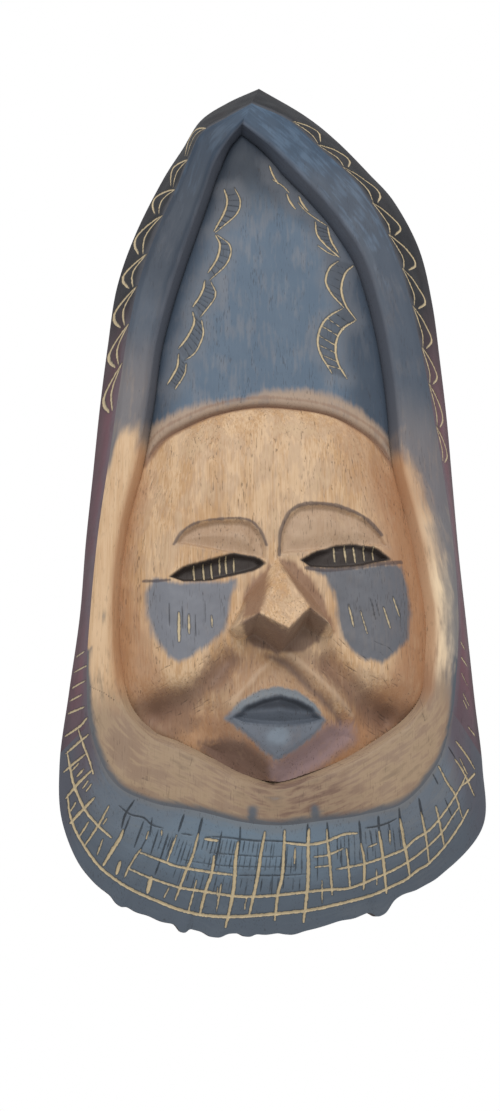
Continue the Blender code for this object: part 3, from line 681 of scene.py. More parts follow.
def new_group(name, inputs, outputs):
    """A shader group's tree, its input sockets and its output sockets. A colour, a number or None
    (for a vector) after each input's name is its default."""
    tree = bpy.data.node_groups.new(name, "ShaderNodeTree")
    kinds = {"Color": "NodeSocketColor", "Vector": "NodeSocketVector"}
    for label, value in inputs.items():
        kind = "Vector" if value is None else "Color" if isinstance(value, tuple) else "Float"
        socket_type = kinds.get(kind, "NodeSocketFloat")
        socket = tree.interface.new_socket(label, in_out="INPUT", socket_type=socket_type)
        if value is not None:
            socket.default_value = value
    for label in outputs:
        socket_type = kinds.get(label, "NodeSocketFloat")
        tree.interface.new_socket(label, in_out="OUTPUT", socket_type=socket_type)
    return tree, tree.nodes.new("NodeGroupInput").outputs, tree.nodes.new("NodeGroupOutput").inputs


def use_group(tree, name, **given):
    """Puts a group in a tree; underscores in the names of the given inputs stand for spaces."""
    node = tree.nodes.new("ShaderNodeGroup")
    node.node_tree = bpy.data.node_groups[name]
    for label, value in given.items():
        feed(tree, node.inputs[label.replace("_", " ")], value)
    return node.outputs


def carved_grain_group():
    """Wood grain: wide bands and fine fibres along the length, blended between two colours."""
    inputs = {"Vector": None, "Light": (0.6, 0.4, 0.25, 1), "Dark": (0.35, 0.2, 0.1, 1), "Figure": 1.0}
    tree, given, out = new_group("carved_grain", inputs, ("Color", "Streaks"))
    bands = noise(tree, given["Vector"], 13, 120)
    fibres = noise(tree, given["Vector"], 1.0, 24)
    streaks = add(tree, times(tree, bands, 0.55), times(tree, fibres, 0.45))
    share = times(tree, step_up(tree, streaks, 0.4, 0.62), given["Figure"])
    feed(tree, out["Color"], blend(tree, share, given["Light"], given["Dark"]))
    feed(tree, out["Streaks"], fibres)


def rubbed_stain_group():
    """A stain over what lies under it. Where its distance is positive it covers, by its strength, and
    brush strokes along the length make its edge ragged and let the wood show through."""
    inputs = {**UNDER, "Stain": (0.1, 0.13, 0.18, 1), "Distance": -1.0, "Softness": 2.0,
              "Raggedness": 2.0, "Strength": 1.0, "Wear": 0.3}
    tree, given, out = new_group("rubbed_stain", inputs, ("Color", "Mask"))
    brush = minus(tree, noise(tree, given["Vector"], 2.4, 15, detail=5.0, away=3.3), 0.5)
    cloud = minus(tree, noise(tree, given["Vector"], 15, 22, detail=3.0, away=7.1), 0.5)
    strokes_seen = add(tree, brush, cloud)
    uneven = times(tree, strokes_seen, times(tree, given["Raggedness"], 3.0))
    shifted = add(tree, given["Distance"], uneven)
    covered = step_up(tree, shifted, times(tree, given["Softness"], -1.0), given["Softness"])
    thin = times(tree, step_up(tree, strokes_seen, -0.05, 0.3), given["Wear"])
    mask = times(tree, covered, times(tree, given["Strength"], minus(tree, 1.0, thin)))
    feed(tree, out["Mask"], mask)
    feed(tree, out["Color"], blend(tree, mask, given["Under"], given["Stain"]))


def tool_cut_group():
    """A cut of a gouge: where its distance is positive the cut colour shows, with a broken edge, and a
    thin line of painted shadow borders it."""
    inputs = {**UNDER, "Cut": (0.6, 0.5, 0.35, 1), "Distance": -1.0, "Softness": 0.3, "Break": 0.25,
              "Strength": 1.0, "Edge": 0.4}
    tree, given, out = new_group("tool_cut", inputs, ("Color", "Depth"))
    chips = minus(tree, noise(tree, given["Vector"], 1.6, 2.6, detail=3.0, away=5.0), 0.5)
    shifted = add(tree, given["Distance"], times(tree, chips, times(tree, given["Break"], 4.0)))
    mask = step_up(tree, shifted, times(tree, given["Softness"], -1.0), given["Softness"])
    patches = times(tree, noise(tree, given["Vector"], 5, 5, detail=2.0, away=9.0), 0.6)
    patchy = add(tree, 0.65, patches, clamp=True)
    # A thin dark line of painted shadow along the cut's edge.
    edge_shadow = times(tree, step_up(tree, add(tree, shifted, 0.55), -0.35, 0.35), given["Edge"])
    shaded = blend(tree, edge_shadow, given["Under"], (0.02, 0.02, 0.022, 1))
    shown = times(tree, mask, patchy, given["Strength"])
    feed(tree, out["Color"], blend(tree, shown, shaded, given["Cut"]))
    feed(tree, out["Depth"], mask)


def open_pores_group():
    """The wood's pores: short dark dashes along the length, and their height for a bump."""
    inputs = {**UNDER, "Strength": 0.6, "Streaks": 0.5}
    tree, given, out = new_group("open_pores", inputs, ("Color", "Height"))
    dashes = step_up(tree, noise(tree, given["Vector"], 0.7, 6.0, detail=1.0, away=1.7), 0.6, 0.7)
    rarer = step_up(tree, noise(tree, given["Vector"], 7, 30, detail=2.0, away=2.9), 0.35, 0.65)
    pores = times(tree, dashes, rarer, given["Strength"])
    feed(tree, out["Color"], blend(tree, pores, given["Under"], (0.035, 0.025, 0.022, 1)))
    feed(tree, out["Height"], minus(tree, times(tree, given["Streaks"], 0.35), pores))


def rgba(shade):
    """Four numbers for a colour socket, from six hexadecimal digits or from three numbers."""
    return (*(srgb(shade) if isinstance(shade, str) else shade), 1)


def wood_material(name, light, dark, stains, cuts, pores=0.55, figure=1.0, roughness=0.52, flow=False):
    """Carved wood. Each stain is (attribute, colour, softness, raggedness, strength, wear), and each
    cut is (attribute, colour, softness, break, strength). A number in place of an attribute is that
    distance everywhere: a large one covers everything, and one near 0 comes out in patches.
    With flow, stains are brushed along the piece by its own across and along attributes, in mm."""
    material = bpy.data.materials.new(name)
    material.use_nodes = True
    tree = material.node_tree
    tree.nodes.clear()
    vector = brushed = millimetres(tree)
    if flow:
        joined = tree.nodes.new("ShaderNodeCombineXYZ")
        feed(tree, joined.inputs["X"], attribute(tree, "across"))
        feed(tree, joined.inputs["Z"], attribute(tree, "along"))
        brushed = joined.outputs[0]
    grain = use_group(tree, "carved_grain", Vector=vector, Light=rgba(light), Dark=rgba(dark), Figure=figure)
    color = grain["Color"]
    for label, stain, softness, raggedness, strength, wear in stains:
        color = use_group(
            tree, "rubbed_stain", Vector=brushed, Under=color, Stain=rgba(stain),
            Distance=attribute(tree, label), Softness=softness, Raggedness=raggedness, Strength=strength,
            Wear=wear,
        )["Color"]
    pore = use_group(tree, "open_pores", Vector=vector, Under=color, Strength=pores, Streaks=grain["Streaks"])
    color, height = pore["Color"], pore["Height"]
    for label, shade, softness, broken, strength in cuts:
        # Pale cuts get a thin line of painted shadow along their edge, dark ones none.
        cut = use_group(
            tree, "tool_cut", Vector=vector, Under=color, Cut=rgba(shade), Distance=attribute(tree, label),
            Softness=softness, Break=broken, Strength=strength, Edge=0.5 if max(shade) > 0.2 else 0.0,
        )
        color = cut["Color"]
        height = minus(tree, height, times(tree, cut["Depth"], 0.8))
    bump = tree.nodes.new("ShaderNodeBump")
    bump.inputs["Strength"].default_value = 0.35
    bump.inputs["Distance"].default_value = 0.0005
    feed(tree, bump.inputs["Height"], height)
    surface = tree.nodes.new("ShaderNodeBsdfPrincipled")
    feed(tree, surface.inputs["Base Color"], color)
    uneven = times(tree, noise(tree, vector, 20, 40, detail=3.0, away=4.4), 0.24)
    feed(tree, surface.inputs["Roughness"], add(tree, uneven, roughness - 0.12))
    feed(tree, surface.inputs["Normal"], bump.outputs[0])
    surface.inputs["Specular IOR Level"].default_value = 0.22
    output = tree.nodes.new("ShaderNodeOutputMaterial")
    tree.links.new(surface.outputs[0], output.inputs["Surface"])
    return material


# ---- settings -----------------------------------------------------------------------------------------
def size(label, default, description):
    """A length, with its default given in millimetres."""
    return FloatProperty(
        name=label, description=description, default=default * MM, min=0.0, subtype="DISTANCE", unit="LENGTH",
    )


def colour(label, code, description):
    """A colour, with its default given in hexadecimal digits."""
    return FloatVectorProperty(
        name=label, description=description, default=srgb(code), subtype="COLOR", size=3, min=0.0, max=1.0,
    )


class MaskForm(PropertyGroup):
    rim_height: size("Rim height", 43.5, "Height of the rim's inner crest above the back")
    rim_fall: size("Rim fall", 1.5, "How much lower the rim's outer crest is")
    edge_thick: size("Edge thickness", 12, "Thickness of the block at its outline")
    valley_height: size("Valley height", 32, "Height of the foot of the wall inside the rim")
    crown_rise: size("Crown rise", 10, "How much the crown field swells from that foot")
    groove_depth: size("Arch groove", 2.5, "Depth of the groove along the brow arch")
    face_rise: size("Face rise", 27, "How much the face swells from the foot of the wall")
    fold_depth: size("Fold depth", 6, "Depth of the folds beside the muzzle")
    muzzle_height: size("Muzzle height", 74, "Height of the muzzle's peak")
    lid_depth: size("Lid depth", 3.5, "How far the lids are set back below the brows")
    eye_depth: size("Eye depth", 5.5, "Depth of the eye slots")
    mouth_depth: size("Mouth depth", 4, "Depth of the mouth")
    nose_top: size("Nose top", 66, "Height of the nose's facet at its upper corner")
    nose_tip: size("Nose tip", 90, "Height of the nose's facet at its tip")
    cut_depth: size("Cut depth", 0.9, "Depth of the gouge cuts")


class MaskStains(PropertyGroup):
    tan: colour("Tan", "d6b591", "Bare waxed wood")
    tan_grain: colour("Tan grain", "bf9870", "Its darker grain")
    blue: colour("Blue", "52677b", "Stain of the crown field")
    # Shadow blue is the colour of the painted shadow along the wall inside the crown field.
    shadow_blue: colour("Deep blue", "363d49", "Where that stain is thick")
    rust: colour("Rust", "a57453", "Glaze along the sides of the face")
    # Umber is a glaze colour; in the folds it also stands for painted shade.
    umber: colour("Umber", "87644f", "Glaze in the folds")
    # Shade is a dark glaze colour; it also paints shade in the cheek hollows and under the nose.
    shade: colour("Shade", "67514a", "Dark glaze in the deepest hollows")
    slate: colour("Slate", "777b84", "Stain of the patch under the left eye")
    lip: colour("Lip", "7a838b", "Stain of the upper lip")
    black: colour("Black", "2b2a2c", "Paint in the eyes and in fine dark lines")
    night: colour("Night", "1b1c22", "Stain of the band round the rim")
    maroon: colour("Maroon", "7a4f59", "Where that band turns red-brown")
    beard: colour("Beard", "697480", "Stain of the beard")
    cream: colour("Cream", "d2be99", "Pale wood that the cuts lay bare")
    back: colour("Back", "8f6d4c", "Bare wood of the back")


class MaskStage(PropertyGroup):
    lens: FloatProperty(name="Lens", description="Focal length of the camera", default=41.0, unit="CAMERA")
    distance: FloatProperty(name="Distance", description="Camera to target", default=0.815, unit="LENGTH")
    turn: FloatProperty(
        name="Turn", description="Camera's angle to the left", default=math.radians(7), subtype="ANGLE")
    drop: FloatProperty(
        name="Drop", description="Camera's angle from below", default=math.radians(16), subtype="ANGLE")
    key: FloatProperty(name="Key light", description="Power of the key light", default=46.0, unit="POWER")
    ambient: FloatProperty(name="Ambient", description="Brightness of the light from all round", default=0.62)


def settings(context):
    """The form's settings in millimetres, and the stains' colours. The shader groups are made as well,
    if they aren't there yet."""
    if "carved_grain" not in bpy.data.node_groups:
        carved_grain_group()
        rubbed_stain_group()
        tool_cut_group()
        open_pores_group()
    form = context.scene.mask_form
    form = SimpleNamespace(**{label: getattr(form, label) / MM for label in MaskForm.__annotations__})
    return form, context.scene.mask_stains


def carve(heights, form, *fields):
    """Heights with a cut taken out wherever a field of signed distances is positive."""
    return heights - form.cut_depth * smooth(np.maximum.reduce(fields) / CUT_WALL + CUT_START)


def empty(x):
    """A field with no cut in it yet."""
    return np.full(np.shape(x), -CUT_REACH)


# The fields of each piece are distances in mm that are positive inside a stain or a cut.
# ---- pieces ---------------------------------------------------------------------------------------------
class MASK_OT_crown(Operator):
    """The blue field inside the rim above the brow arch, with its two chains of scallops."""

    bl_idname = "mask.crown"
    bl_label = "Crown field"
    bl_options = {"REGISTER", "UNDO"}

    def execute(self, context):
        form, stains = settings(context)
        lines = carving_lines()
        left = lines.valley[: CROWN_ROWS + 1]
        right = lines.valley[-1 - CROWN_ROWS :][::-1]
        points = patch(left, right, np.repeat(left[:1], COLUMNS + 1, 0), lines.arch)
        x, z = points[..., 0], points[..., 1]
        from_wall, from_arch, height = crown_height(form, x, z, lines)
        light, rungs, fills, chains = empty(x), empty(x), empty(x), np.full(x.shape, FAR)
        rng = np.random.default_rng(3)
        for chain, width in CHAINS:
            for arc in chain:
                stroke(light, x, z, through(arc), width)
                chains = np.minimum(chains, nearest(arc, x, z))
        for chain, mates in ((LEFT_CHAIN, LEFT_CHAIN_MATES), (RIGHT_CHAIN[2:], RIGHT_CHAIN_MATES[1:])):
            for arc, mate in zip(chain, mates):
                fills = np.maximum(fills, inside([*arc, *mate[::-1]], x, z))
                arc, mate = evenly(RUNG_STEPS, through(arc))[0], evenly(RUNG_STEPS, through(mate))[0]
                middle_x, middle_z = arc[RUNG_STEPS // 2]
                for i in range(RUNG_GAP, RUNG_STEPS - 2, RUNG_GAP):
                    ends = arc[i] + rng.normal(0, 0.4, 2), mate[i] + rng.normal(0, 0.4, 2)
                    pale = middle_x > 0 and middle_z < PALE_BELOW and i > RUNG_GAP
                    stroke(light if pale else rungs, x, z, ends, rng.uniform(0.6, 1.0), 0.6)
        fields = {
            "light": light, "rungs": rungs, "fills": fills, "worn": 7 - chains,
            # wall_shadow paints shadow along the wall inside the rim, wider higher up and towards the right.
            "wall_shadow": 13 + 10 * smooth((z - 20) / 60) + 14 * smooth((x - 20) / 25) - from_wall,
            # apex is a dark stain with painted shade under the rim's apex.
            "apex": z - 62 + 0.2 * np.abs(x), "tan": np.interp(x, *zip(*TAN_EDGE)) - z,
            "groove": 1.8 - from_arch, "second": 0.9 - np.abs(from_arch - 6.5),
        }
        wood = wood_material(
            "crown_wood", stains.tan, stains.tan_grain,
            [(ALL_OVER, stains.blue, 2, 0, 0.96, 0.10), (-1.0, "6d7c8b", 1.5, 2.5, 0.25, 0.3),
             # Painted shadow along the wall, then a dark stain with painted shade under the apex.
             ("wall_shadow", stains.shadow_blue, 11, 3, 0.7, 0.1), ("apex", "30363f", 30, 4, 0.9, 0.1),
             ("worn", "74757a", 5, 2, 0.42, 0.3), ("fills", "454a52", 1.5, 1.0, 0.55, 0.2),
             ("tan", "b0967f", 4, 2.2, 0.88, 0.25), ("groove", stains.umber, 1.2, 0.5, 0.75, 0.2),
             ("second", stains.umber, 0.9, 1.0, 0.5, 0.3)],
            [("rungs", stains.black, 0.25, 0.15, 0.75), ("light", stains.cream, 0.3, 0.25, 0.95)],
            pores=0.4,
        )
        height = carve(height, form, light, rungs)
        make_piece(context, "crown_field", points, height, fields, wood, merge=True)
        return {"FINISHED"}


class MASK_OT_face(Operator):
    """The face inside the rim below the brow arch: eyes, nose, muzzle, mouth, cheeks and chin."""

    bl_idname = "mask.face"
    bl_label = "Face"
    bl_options = {"REGISTER", "UNDO"}

    def execute(self, context):
        form, stains = settings(context)
        lines = carving_lines()
        left = lines.valley[CROWN_ROWS : SIDE_ROWS + 1]
        right = lines.valley[-1 - SIDE_ROWS : -CROWN_ROWS][::-1]
        points = patch(left, right, lines.arch, lines.valley[SIDE_ROWS : SIDE_ROWS + COLUMNS + 1])
        x, z = points[..., 0], points[..., 1]
        from_wall, from_arch, height = face_height(form, x, z, lines)
        light, fine = empty(x), empty(x)
        for row in LIGHT_TICKS:
            tick(light, x, z, *row)
        for row in DARK_TICKS:
            tick(fine, x, z, *row, TICK_WIDTH)
        for row in SCRATCHES:
            scratches(fine, x, z, *row)
        creases = np.full(x.shape, FAR)
        for line, half in CREASES:
            creases = np.minimum(creases, nearest(through(line, LINE_STEPS), x, z) - half)
        side = np.where(x > 0, 20 + 6 * smooth((-160 - z) / 100), 7 + 16 * smooth((-205 - z) / 80))
        # ridge_highlights: distance to the muzzle's ridges, where highlights are painted.
        ridge_highlights = np.minimum(*(nearest(through(line, LINE_STEPS), x, z) for line in RIDGES))
        lips, mouth = inside(LIPS, x, z), inside(MOUTH, x, z)
        fields = {
            "light": light, "fine": fine, "creases": 0.7 - creases,
            "sides": side * np.clip(from_arch / 20, 0, 1) - from_wall,
            "arch": 2.2 - from_arch,
            "temple": np.where(x > 0, 30 - from_wall, -20) + 0.1 * (z + 190),
            "lids": np.maximum(inside(LEFT_BROW, x, z), inside(RIGHT_BROW, x, z)),
            "eyes": np.maximum(inside(LEFT_EYE, x, z), inside(RIGHT_EYE, x, z)) + 0.6,
            "left_patch": inside(LEFT_PATCH, x, z), "right_patch": inside(RIGHT_PATCH, x, z),
            # nose_underside_shade paints shade under the nose.
            "nose_underside_shade": inside(UNDER_NOSE, x, z),
            "nose_sides": np.maximum(inside(RIGHT_OF_NOSE, x, z), inside(LEFT_OF_NOSE, x, z)),
            "muzzle": 22 - np.hypot(x - MUZZLE_CENTRE[0], z - MUZZLE_CENTRE[1]) / 2,
            # folds and hollows: dark glaze together with painted shade in these recesses.
            "folds": 7 - np.minimum(*(nearest(fold, x, z) for fold in FOLDS)),
            # valley: painted shade in the groove beside the muzzle; ridge_highlights: painted highlights
            # along the ridges.
            "valley": 2.0 - nearest(through(MUZZLE_LINES[0], LINE_STEPS), x, z), "ridge_highlights": 1.5 - ridge_highlights,
            "hollows": np.maximum(inside(LEFT_HOLLOW, x, z), inside(RIGHT_HOLLOW, x, z)),
            "chin_left": inside(CHIN_LEFT, x, z), "chin_right": inside(CHIN_RIGHT, x, z),
            "upper_lip": np.minimum(lips, z + 303), "lower_lip": np.minimum(lips, -303 - z),
            # lip_highlight: a painted highlight on the middle of the lower lip.
            "lip_highlight": 7 - np.hypot(x + 6, (z + 317) * 1.4),
            "mouth": mouth, "gap": np.minimum(mouth, z + 301),
        }
        wood = wood_material(
            "face_wood", stains.tan, stains.tan_grain,
            [(-0.6, "9d8c84", 1.2, 2.5, 0.45, 0.3), (-1.0, "a9764c", 1.2, 2.5, 0.4, 0.3),
             (-1.2, "ead0a6", 1.0, 2.5, 0.4, 0.3),
             ("temple", stains.rust, 12, 5, 0.4, 0.3), ("sides", stains.rust, 8, 4, 0.6, 0.3),
             ("arch", stains.umber, 1.5, 0.6, 0.8, 0.2), ("lids", "a48b78", 3, 2, 0.6, 0.3),
             # The valley stain paints shade in the groove beside the muzzle, and the ridge stain paints
             # highlights along its ridges.
             ("muzzle", stains.umber, 7, 5, 0.48, 0.3), ("valley", "65514a", 2.5, 1.0, 0.8, 0.2),
             ("ridge_highlights", "c3a68a", 2.0, 1.5, 0.65, 0.3), ("nose_sides", stains.umber, 2, 1.5, 0.85, 0.1),
             # The fold and hollow stains are glaze with painted shade in them.
             ("folds", stains.umber, 5, 1.5, 0.6, 0.2), ("hollows", stains.shade, 6, 2.5, 0.5, 0.15),
             ("chin_left", stains.shade, 4, 2.5, 0.8, 0.1), ("chin_right", "8f7a7e", 5, 2.5, 0.8, 0.2),
             # Painted shade under the nose, in the shade colour.
             ("nose_underside_shade", stains.shade, 1.5, 0.8, 0.75, 0.1),
             ("left_patch", stains.slate, 2.2, 1.5, 0.96, 0.05),
             ("right_patch", "646870", 2.2, 1.5, 0.96, 0.05),
             ("upper_lip", stains.lip, 1.2, 0.8, 0.95, 0.1), ("lower_lip", "757e8a", 1.5, 1.2, 0.93, 0.1),
             # lip_highlight: a painted highlight.
             ("lip_highlight", "97a3b0", 3, 1.5, 0.6, 0.2), ("mouth", "535963", 1.2, 0.5, 0.95, 0.0),
             ("gap", "363940", 2.0, 0.8, 0.85, 0.0), ("creases", "4a4144", 0.6, 0.4, 0.75, 0.2),
             ("eyes", "353030", 1.0, 0.4, 0.97, 0.0)],
            [("fine", stains.black, 0.25, 0.1, 0.7), ("light", stains.cream, 0.3, 0.25, 0.95)],
            pores=0.5,
        )
        make_piece(context, "face", points, carve(height, form, light, fine), fields, wood)
        return {"FINISHED"}


class MASK_OT_rim(Operator):
    """The closed raised rim round the crown and the face, with the sloped wall on its inside."""

    bl_idname = "mask.rim"
    bl_label = "Rim"
    bl_options = {"REGISTER", "UNDO"}

    def execute(self, context):
        form, stains = settings(context)
        lines = carving_lines()
        crest, valley = form.rim_height, valley_level(form, lines.valley[None, :, 1])
        share = np.linspace(0, 1, WALL_ROWS + 1)[:-1, None]
        wall = lines.valley[None] * (1 - share[..., None]) + lines.inner[None] * share[..., None]
        across = np.linspace(0, 1, TOP_ROWS)[:, None]
        top = lines.inner[None] * (1 - across[..., None]) + lines.outer[None] * across[..., None]
        points = np.concatenate([wall, top])[:, :-1]
        wall_height = valley + (crest - valley) * np.broadcast_to(share**0.9, wall.shape[:2])
        wide = 0.14 + 0.14 * smooth((-230 - lines.inner[None, :, 1]) / 60)
        rounded = bell(across, wide) + bell(across - 1, 0.1)
        top_height = crest - form.rim_fall * across + 1.5 * (1 - rounded) - CREST_LOSS
        height = np.concatenate([wall_height - CREST_LOSS * share**2, top_height])[:, :-1]
        x, z = points[..., 0], points[..., 1]
        fine = empty(x)
        for row in RIM_SCRATCHES:
            scratches(fine, x, z, *row)
        rows = np.concatenate([share[:, 0] - 1, across[:, 0]])[:, None] + 0 * x
        on_top = (rows > 0) * smooth(rows * 8) * smooth((1 - rows) * 8)
        height = height + 0.3 * ripple(x, z, seed=31, size=19) * on_top
        width = np.linalg.norm(lines.outer - lines.inner, axis=1)[:-1]
        from_crest = rows * np.where(rows > 0, width, WALL_WIDTH)
        notches = [half - nearest(line, x, z) for line, half in NOTCHES]
        fields = {
            "blue": np.where(x < 0, z - np.interp(x, *zip(*LEFT_RIM_BLUE)),
                             np.maximum(z + 112, x - np.interp(-z, *zip(*RIGHT_RIM_BLUE)))),
            "fading": z + 70 + np.where(x > 0, 0.3, 0.06) * x,
            "tanned": 38 - np.hypot(x - 98, (z + 158) / 1.2),
            "deep": z - 60 - 0.6 * np.abs(x + 20) + 14 * rows,
            # painted_sheen: painted sheen on the rim's top, stronger towards the apex and the right, never
            # solid.
            "painted_sheen": np.clip((z - 58 + 0.25 * x) / 14, -4, -0.8),
            # top_left_shade: painted shade over the rim's upper left.
            "top_left_shade": np.where(x < -24, 58 - np.hypot(x + 72, (z - 58) * 0.75), -40),
            "wall": np.minimum(1.5 - from_crest, (z + 128) / 3),
            "warm_wall": np.minimum.reduce([1.0 - from_crest, (-128 - z) / 3, (z + 288) / 4]),
            "low": np.minimum(-292 - z + 22 * (x > 60), 60.0),
            "pale": np.minimum(np.minimum(x - 70, -165 - z), z + 285),
            "rubbed": np.clip((-300 - z) / 10, -3, -0.3), "streaks": np.clip((-285 - z) / 12, -4, -1.6),
            "centre": 34 - np.hypot(x - 12, (z + 352) / 0.5),
            "outside": np.maximum.reduce([np.minimum(width * (rows - 1) + 3.0, -262 - z), *notches]),
            "across": width * rows, "along": lengths((lines.inner + lines.outer) / 2)[:-1] + 0 * x,
            "crack": -nearest(CRACK, x, z, 0.35), "fine": fine,
        }
        wood = wood_material(
            "rim_wood", stains.tan, stains.tan_grain,
            [("pale", "f0d7b4", 12, 4, 0.8, 0.2), ("tanned", stains.rust, 14, 5, 0.35, 0.2),
             ("low", "877263", 16, 5, 0.84, 0.2), ("centre", "6f554a", 16, 5, 0.78, 0.3),
             ("rubbed", "c4aa88", 2.2, 3.5, 0.6, 0.3), ("streaks", "5b4c45", 2.0, 3.5, 0.6, 0.2),
             ("blue", "62666f", 7, 4, 0.9, 0.12), ("fading", "485361", 26, 6, 0.88, 0.12),
             # painted_sheen is a painted sheen on the rim's top, in ragged patches.
             ("deep", "394d62", 22, 5, 0.68, 0.2), ("painted_sheen", "66839f", 1.5, 3, 0.4, 0.3),
             # top_left_shade is painted shade over the upper left of the rim.
             ("outside", "565d66", 2, 1.5, 0.92, 0.1), ("top_left_shade", "2f3743", 16, 4, 0.65, 0.2),
             ("wall", "565962", 3, 0.8, 0.8, 0.05), ("warm_wall", stains.rust, 3, 0.8, 0.6, 0.1)],
            [("crack", stains.black, 0.25, 0.1, 0.8), ("fine", stains.black, 0.25, 0.15, 0.5)],
            pores=0.25, figure=0.7, flow=True,
        )
        make_piece(context, "rim", points, height, fields, wood, closed=True)
        return {"FINISHED"}


def sloped_band(form, outer, outline, rows):
    """A strip from the rim's outer crest to the outline: it falls slowly at first, then faster."""
    share = np.linspace(0, 1, rows)[:, None]
    points = outer[None] * (1 - share[..., None]) + outline[None] * share[..., None]
    crest = form.rim_height - form.rim_fall - CREST_LOSS
    height = crest - (crest - form.edge_thick) * np.broadcast_to(share, points.shape[:2]) ** 1.15
    height = height + 0.4 * ripple(points[..., 0], points[..., 1], seed=41, size=15) * np.sin(np.pi * share)
    return points, height, share + 0 * height


class MASK_OT_band(Operator):
    """The sloped dark band outside the rim, over the apex and down both sides, with its scallops."""

    bl_idname = "mask.band"
    bl_label = "Upper band"
    bl_options = {"REGISTER", "UNDO"}

    def execute(self, context):
        form, stains = settings(context)
        lines = carving_lines()
        outer, outline = evenly(BAND_STEPS, *(
            np.vstack([line[-1 - BEARD_START : -1], line[: BEARD_START + 1]])
            for line in (lines.outer, lines.outline)
        ))
        points, height, share = sloped_band(form, outer, outline, BAND_ROWS)
        x, z = points[..., 0], points[..., 1]
        along = lengths((outer + outline) / 2)
        along = along - along[np.argmax(outline[:, 1])]
        width = np.linalg.norm(outer - outline, axis=1)
        s, across = along[None] + 0 * x, share * width[None]
        light = empty(x)
        for way, cusps, curves in ((1, LEFT_SCALLOPS, LEFT_CURVES), (-1, RIGHT_SCALLOPS, RIGHT_CURVES)):
            for start, end in zip(cusps[:-1], cusps[1:]):
                wide = np.interp(way * start, along, width)
                for curve, cut_width in zip(curves, (1.7, 1.1)):
                    arc = [(way * (start + (end - start) * a), b * wide) for a, b in curve]
                    stroke(light, s, across, through(arc), cut_width, 0.1)
        strokes(light, x, z, LIGHT_CUTS, 0.5)
        fields = {
            "light": light, "across": across, "along": s,
            "ends": 24 - np.minimum(s - along[0], along[-1] - s),
            "maroon": -z - 60 + 50 * (x > 0) * (share - 0.4),
            "edge": across - width[None] + 5, "crest": 2.5 - across,
        }
        wood = wood_material(
            "band_wood", stains.umber, stains.shade,
            [(ALL_OVER, stains.night, 2, 0, 1.0, 0.04), ("maroon", stains.maroon, 60, 8, 0.88, 0.1),
             ("ends", "5f5058", 18, 5, 0.8, 0.1), ("edge", "2f2c31", 5, 2, 0.5, 0.1),
             ("crest", "6a6c74", 2.5, 1.5, 0.5, 0.3)],
            [("light", stains.cream, 0.3, 0.3, 0.97)],
            pores=0.6, flow=True,
        )
        make_piece(context, "upper_band", points, carve(height, form, light), fields, wood)
        return {"FINISHED"}


class MASK_OT_beard(Operator):
    """The wide sloped band under the rim, cut with a net of rounds and radial lines."""

    bl_idname = "mask.beard"
    bl_label = "Beard"
    bl_options = {"REGISTER", "UNDO"}

    def execute(self, context):
        form, stains = settings(context)
        lines = carving_lines()
        outer, outline = evenly(
            BEARD_STEPS, *(line[BEARD_START : -BEARD_START or None] for line in (lines.outer, lines.outline))
        )
        points, height, share = sloped_band(form, outer, outline, BEARD_ROWS)
        x, z = points[..., 0], points[..., 1]
        light, fine = empty(x), empty(x)
        strokes(light, x, z, LIGHT_CUTS, 0.5)
        strokes(fine, x, z, DARK_CUTS, 0.4)
        rng = np.random.default_rng(12)
        for start, stop, count, reach in SHORT_CUTS:
            for foot in np.linspace(start, stop, count):
                foot = foot + rng.normal(0, 0.4, 2)
                lean = np.array([foot[0] * 0.004 - 0.05, -1.0]) * reach * rng.uniform(0.6, 1.2)
                line = evenly(SHORT_STEPS, np.array([foot, foot + lean]))[0]
                stroke(fine, x, z, line, rng.uniform(0.4, 0.75), 0.4)
        along = lengths((outer + outline) / 2)
        fields = {
            "light": light, "fine": fine, "across": BEARD_WIDTH * share, "along": along + 0 * x,
            "ends": 22 - np.minimum(along, along[-1] - along) + 26 * share,
            "night": -20 + 50 * share - 6 * smooth((z + 420) / 40),
            # painted_sheen: painted reflection of the sky, a lighter blue over the middle of the beard low
            # down.
            "painted_sheen": 34 - np.hypot((x + 20) / 2.2, z + 390),
            "crest": 3.0 - share * 60,
        }
        wood = wood_material(
            "beard_wood", stains.tan_grain, stains.umber,
            [(ALL_OVER, stains.beard, 2, 0, 0.95, 0.12), (-0.9, "4d545d", 1.5, 3, 0.5, 0.2),
             # painted_sheen paints a reflection of the sky in lighter blue.
             (-1.1, "8a9298", 1.2, 3, 0.4, 0.3), ("painted_sheen", "758a9b", 22, 6, 0.6, 0.2),
             ("ends", "5f5058", 16, 5, 0.8, 0.1), ("night", "525963", 14, 5, 0.7, 0.15),
             ("crest", "7b756f", 2.5, 2, 0.4, 0.3)],
            [("fine", stains.black, 0.3, 0.15, 0.7), ("light", stains.cream, 0.3, 0.3, 0.95)],
            pores=0.35, flow=True,
        )
        make_piece(context, "beard", points, carve(height, form, light, fine), fields, wood)
        return {"FINISHED"}


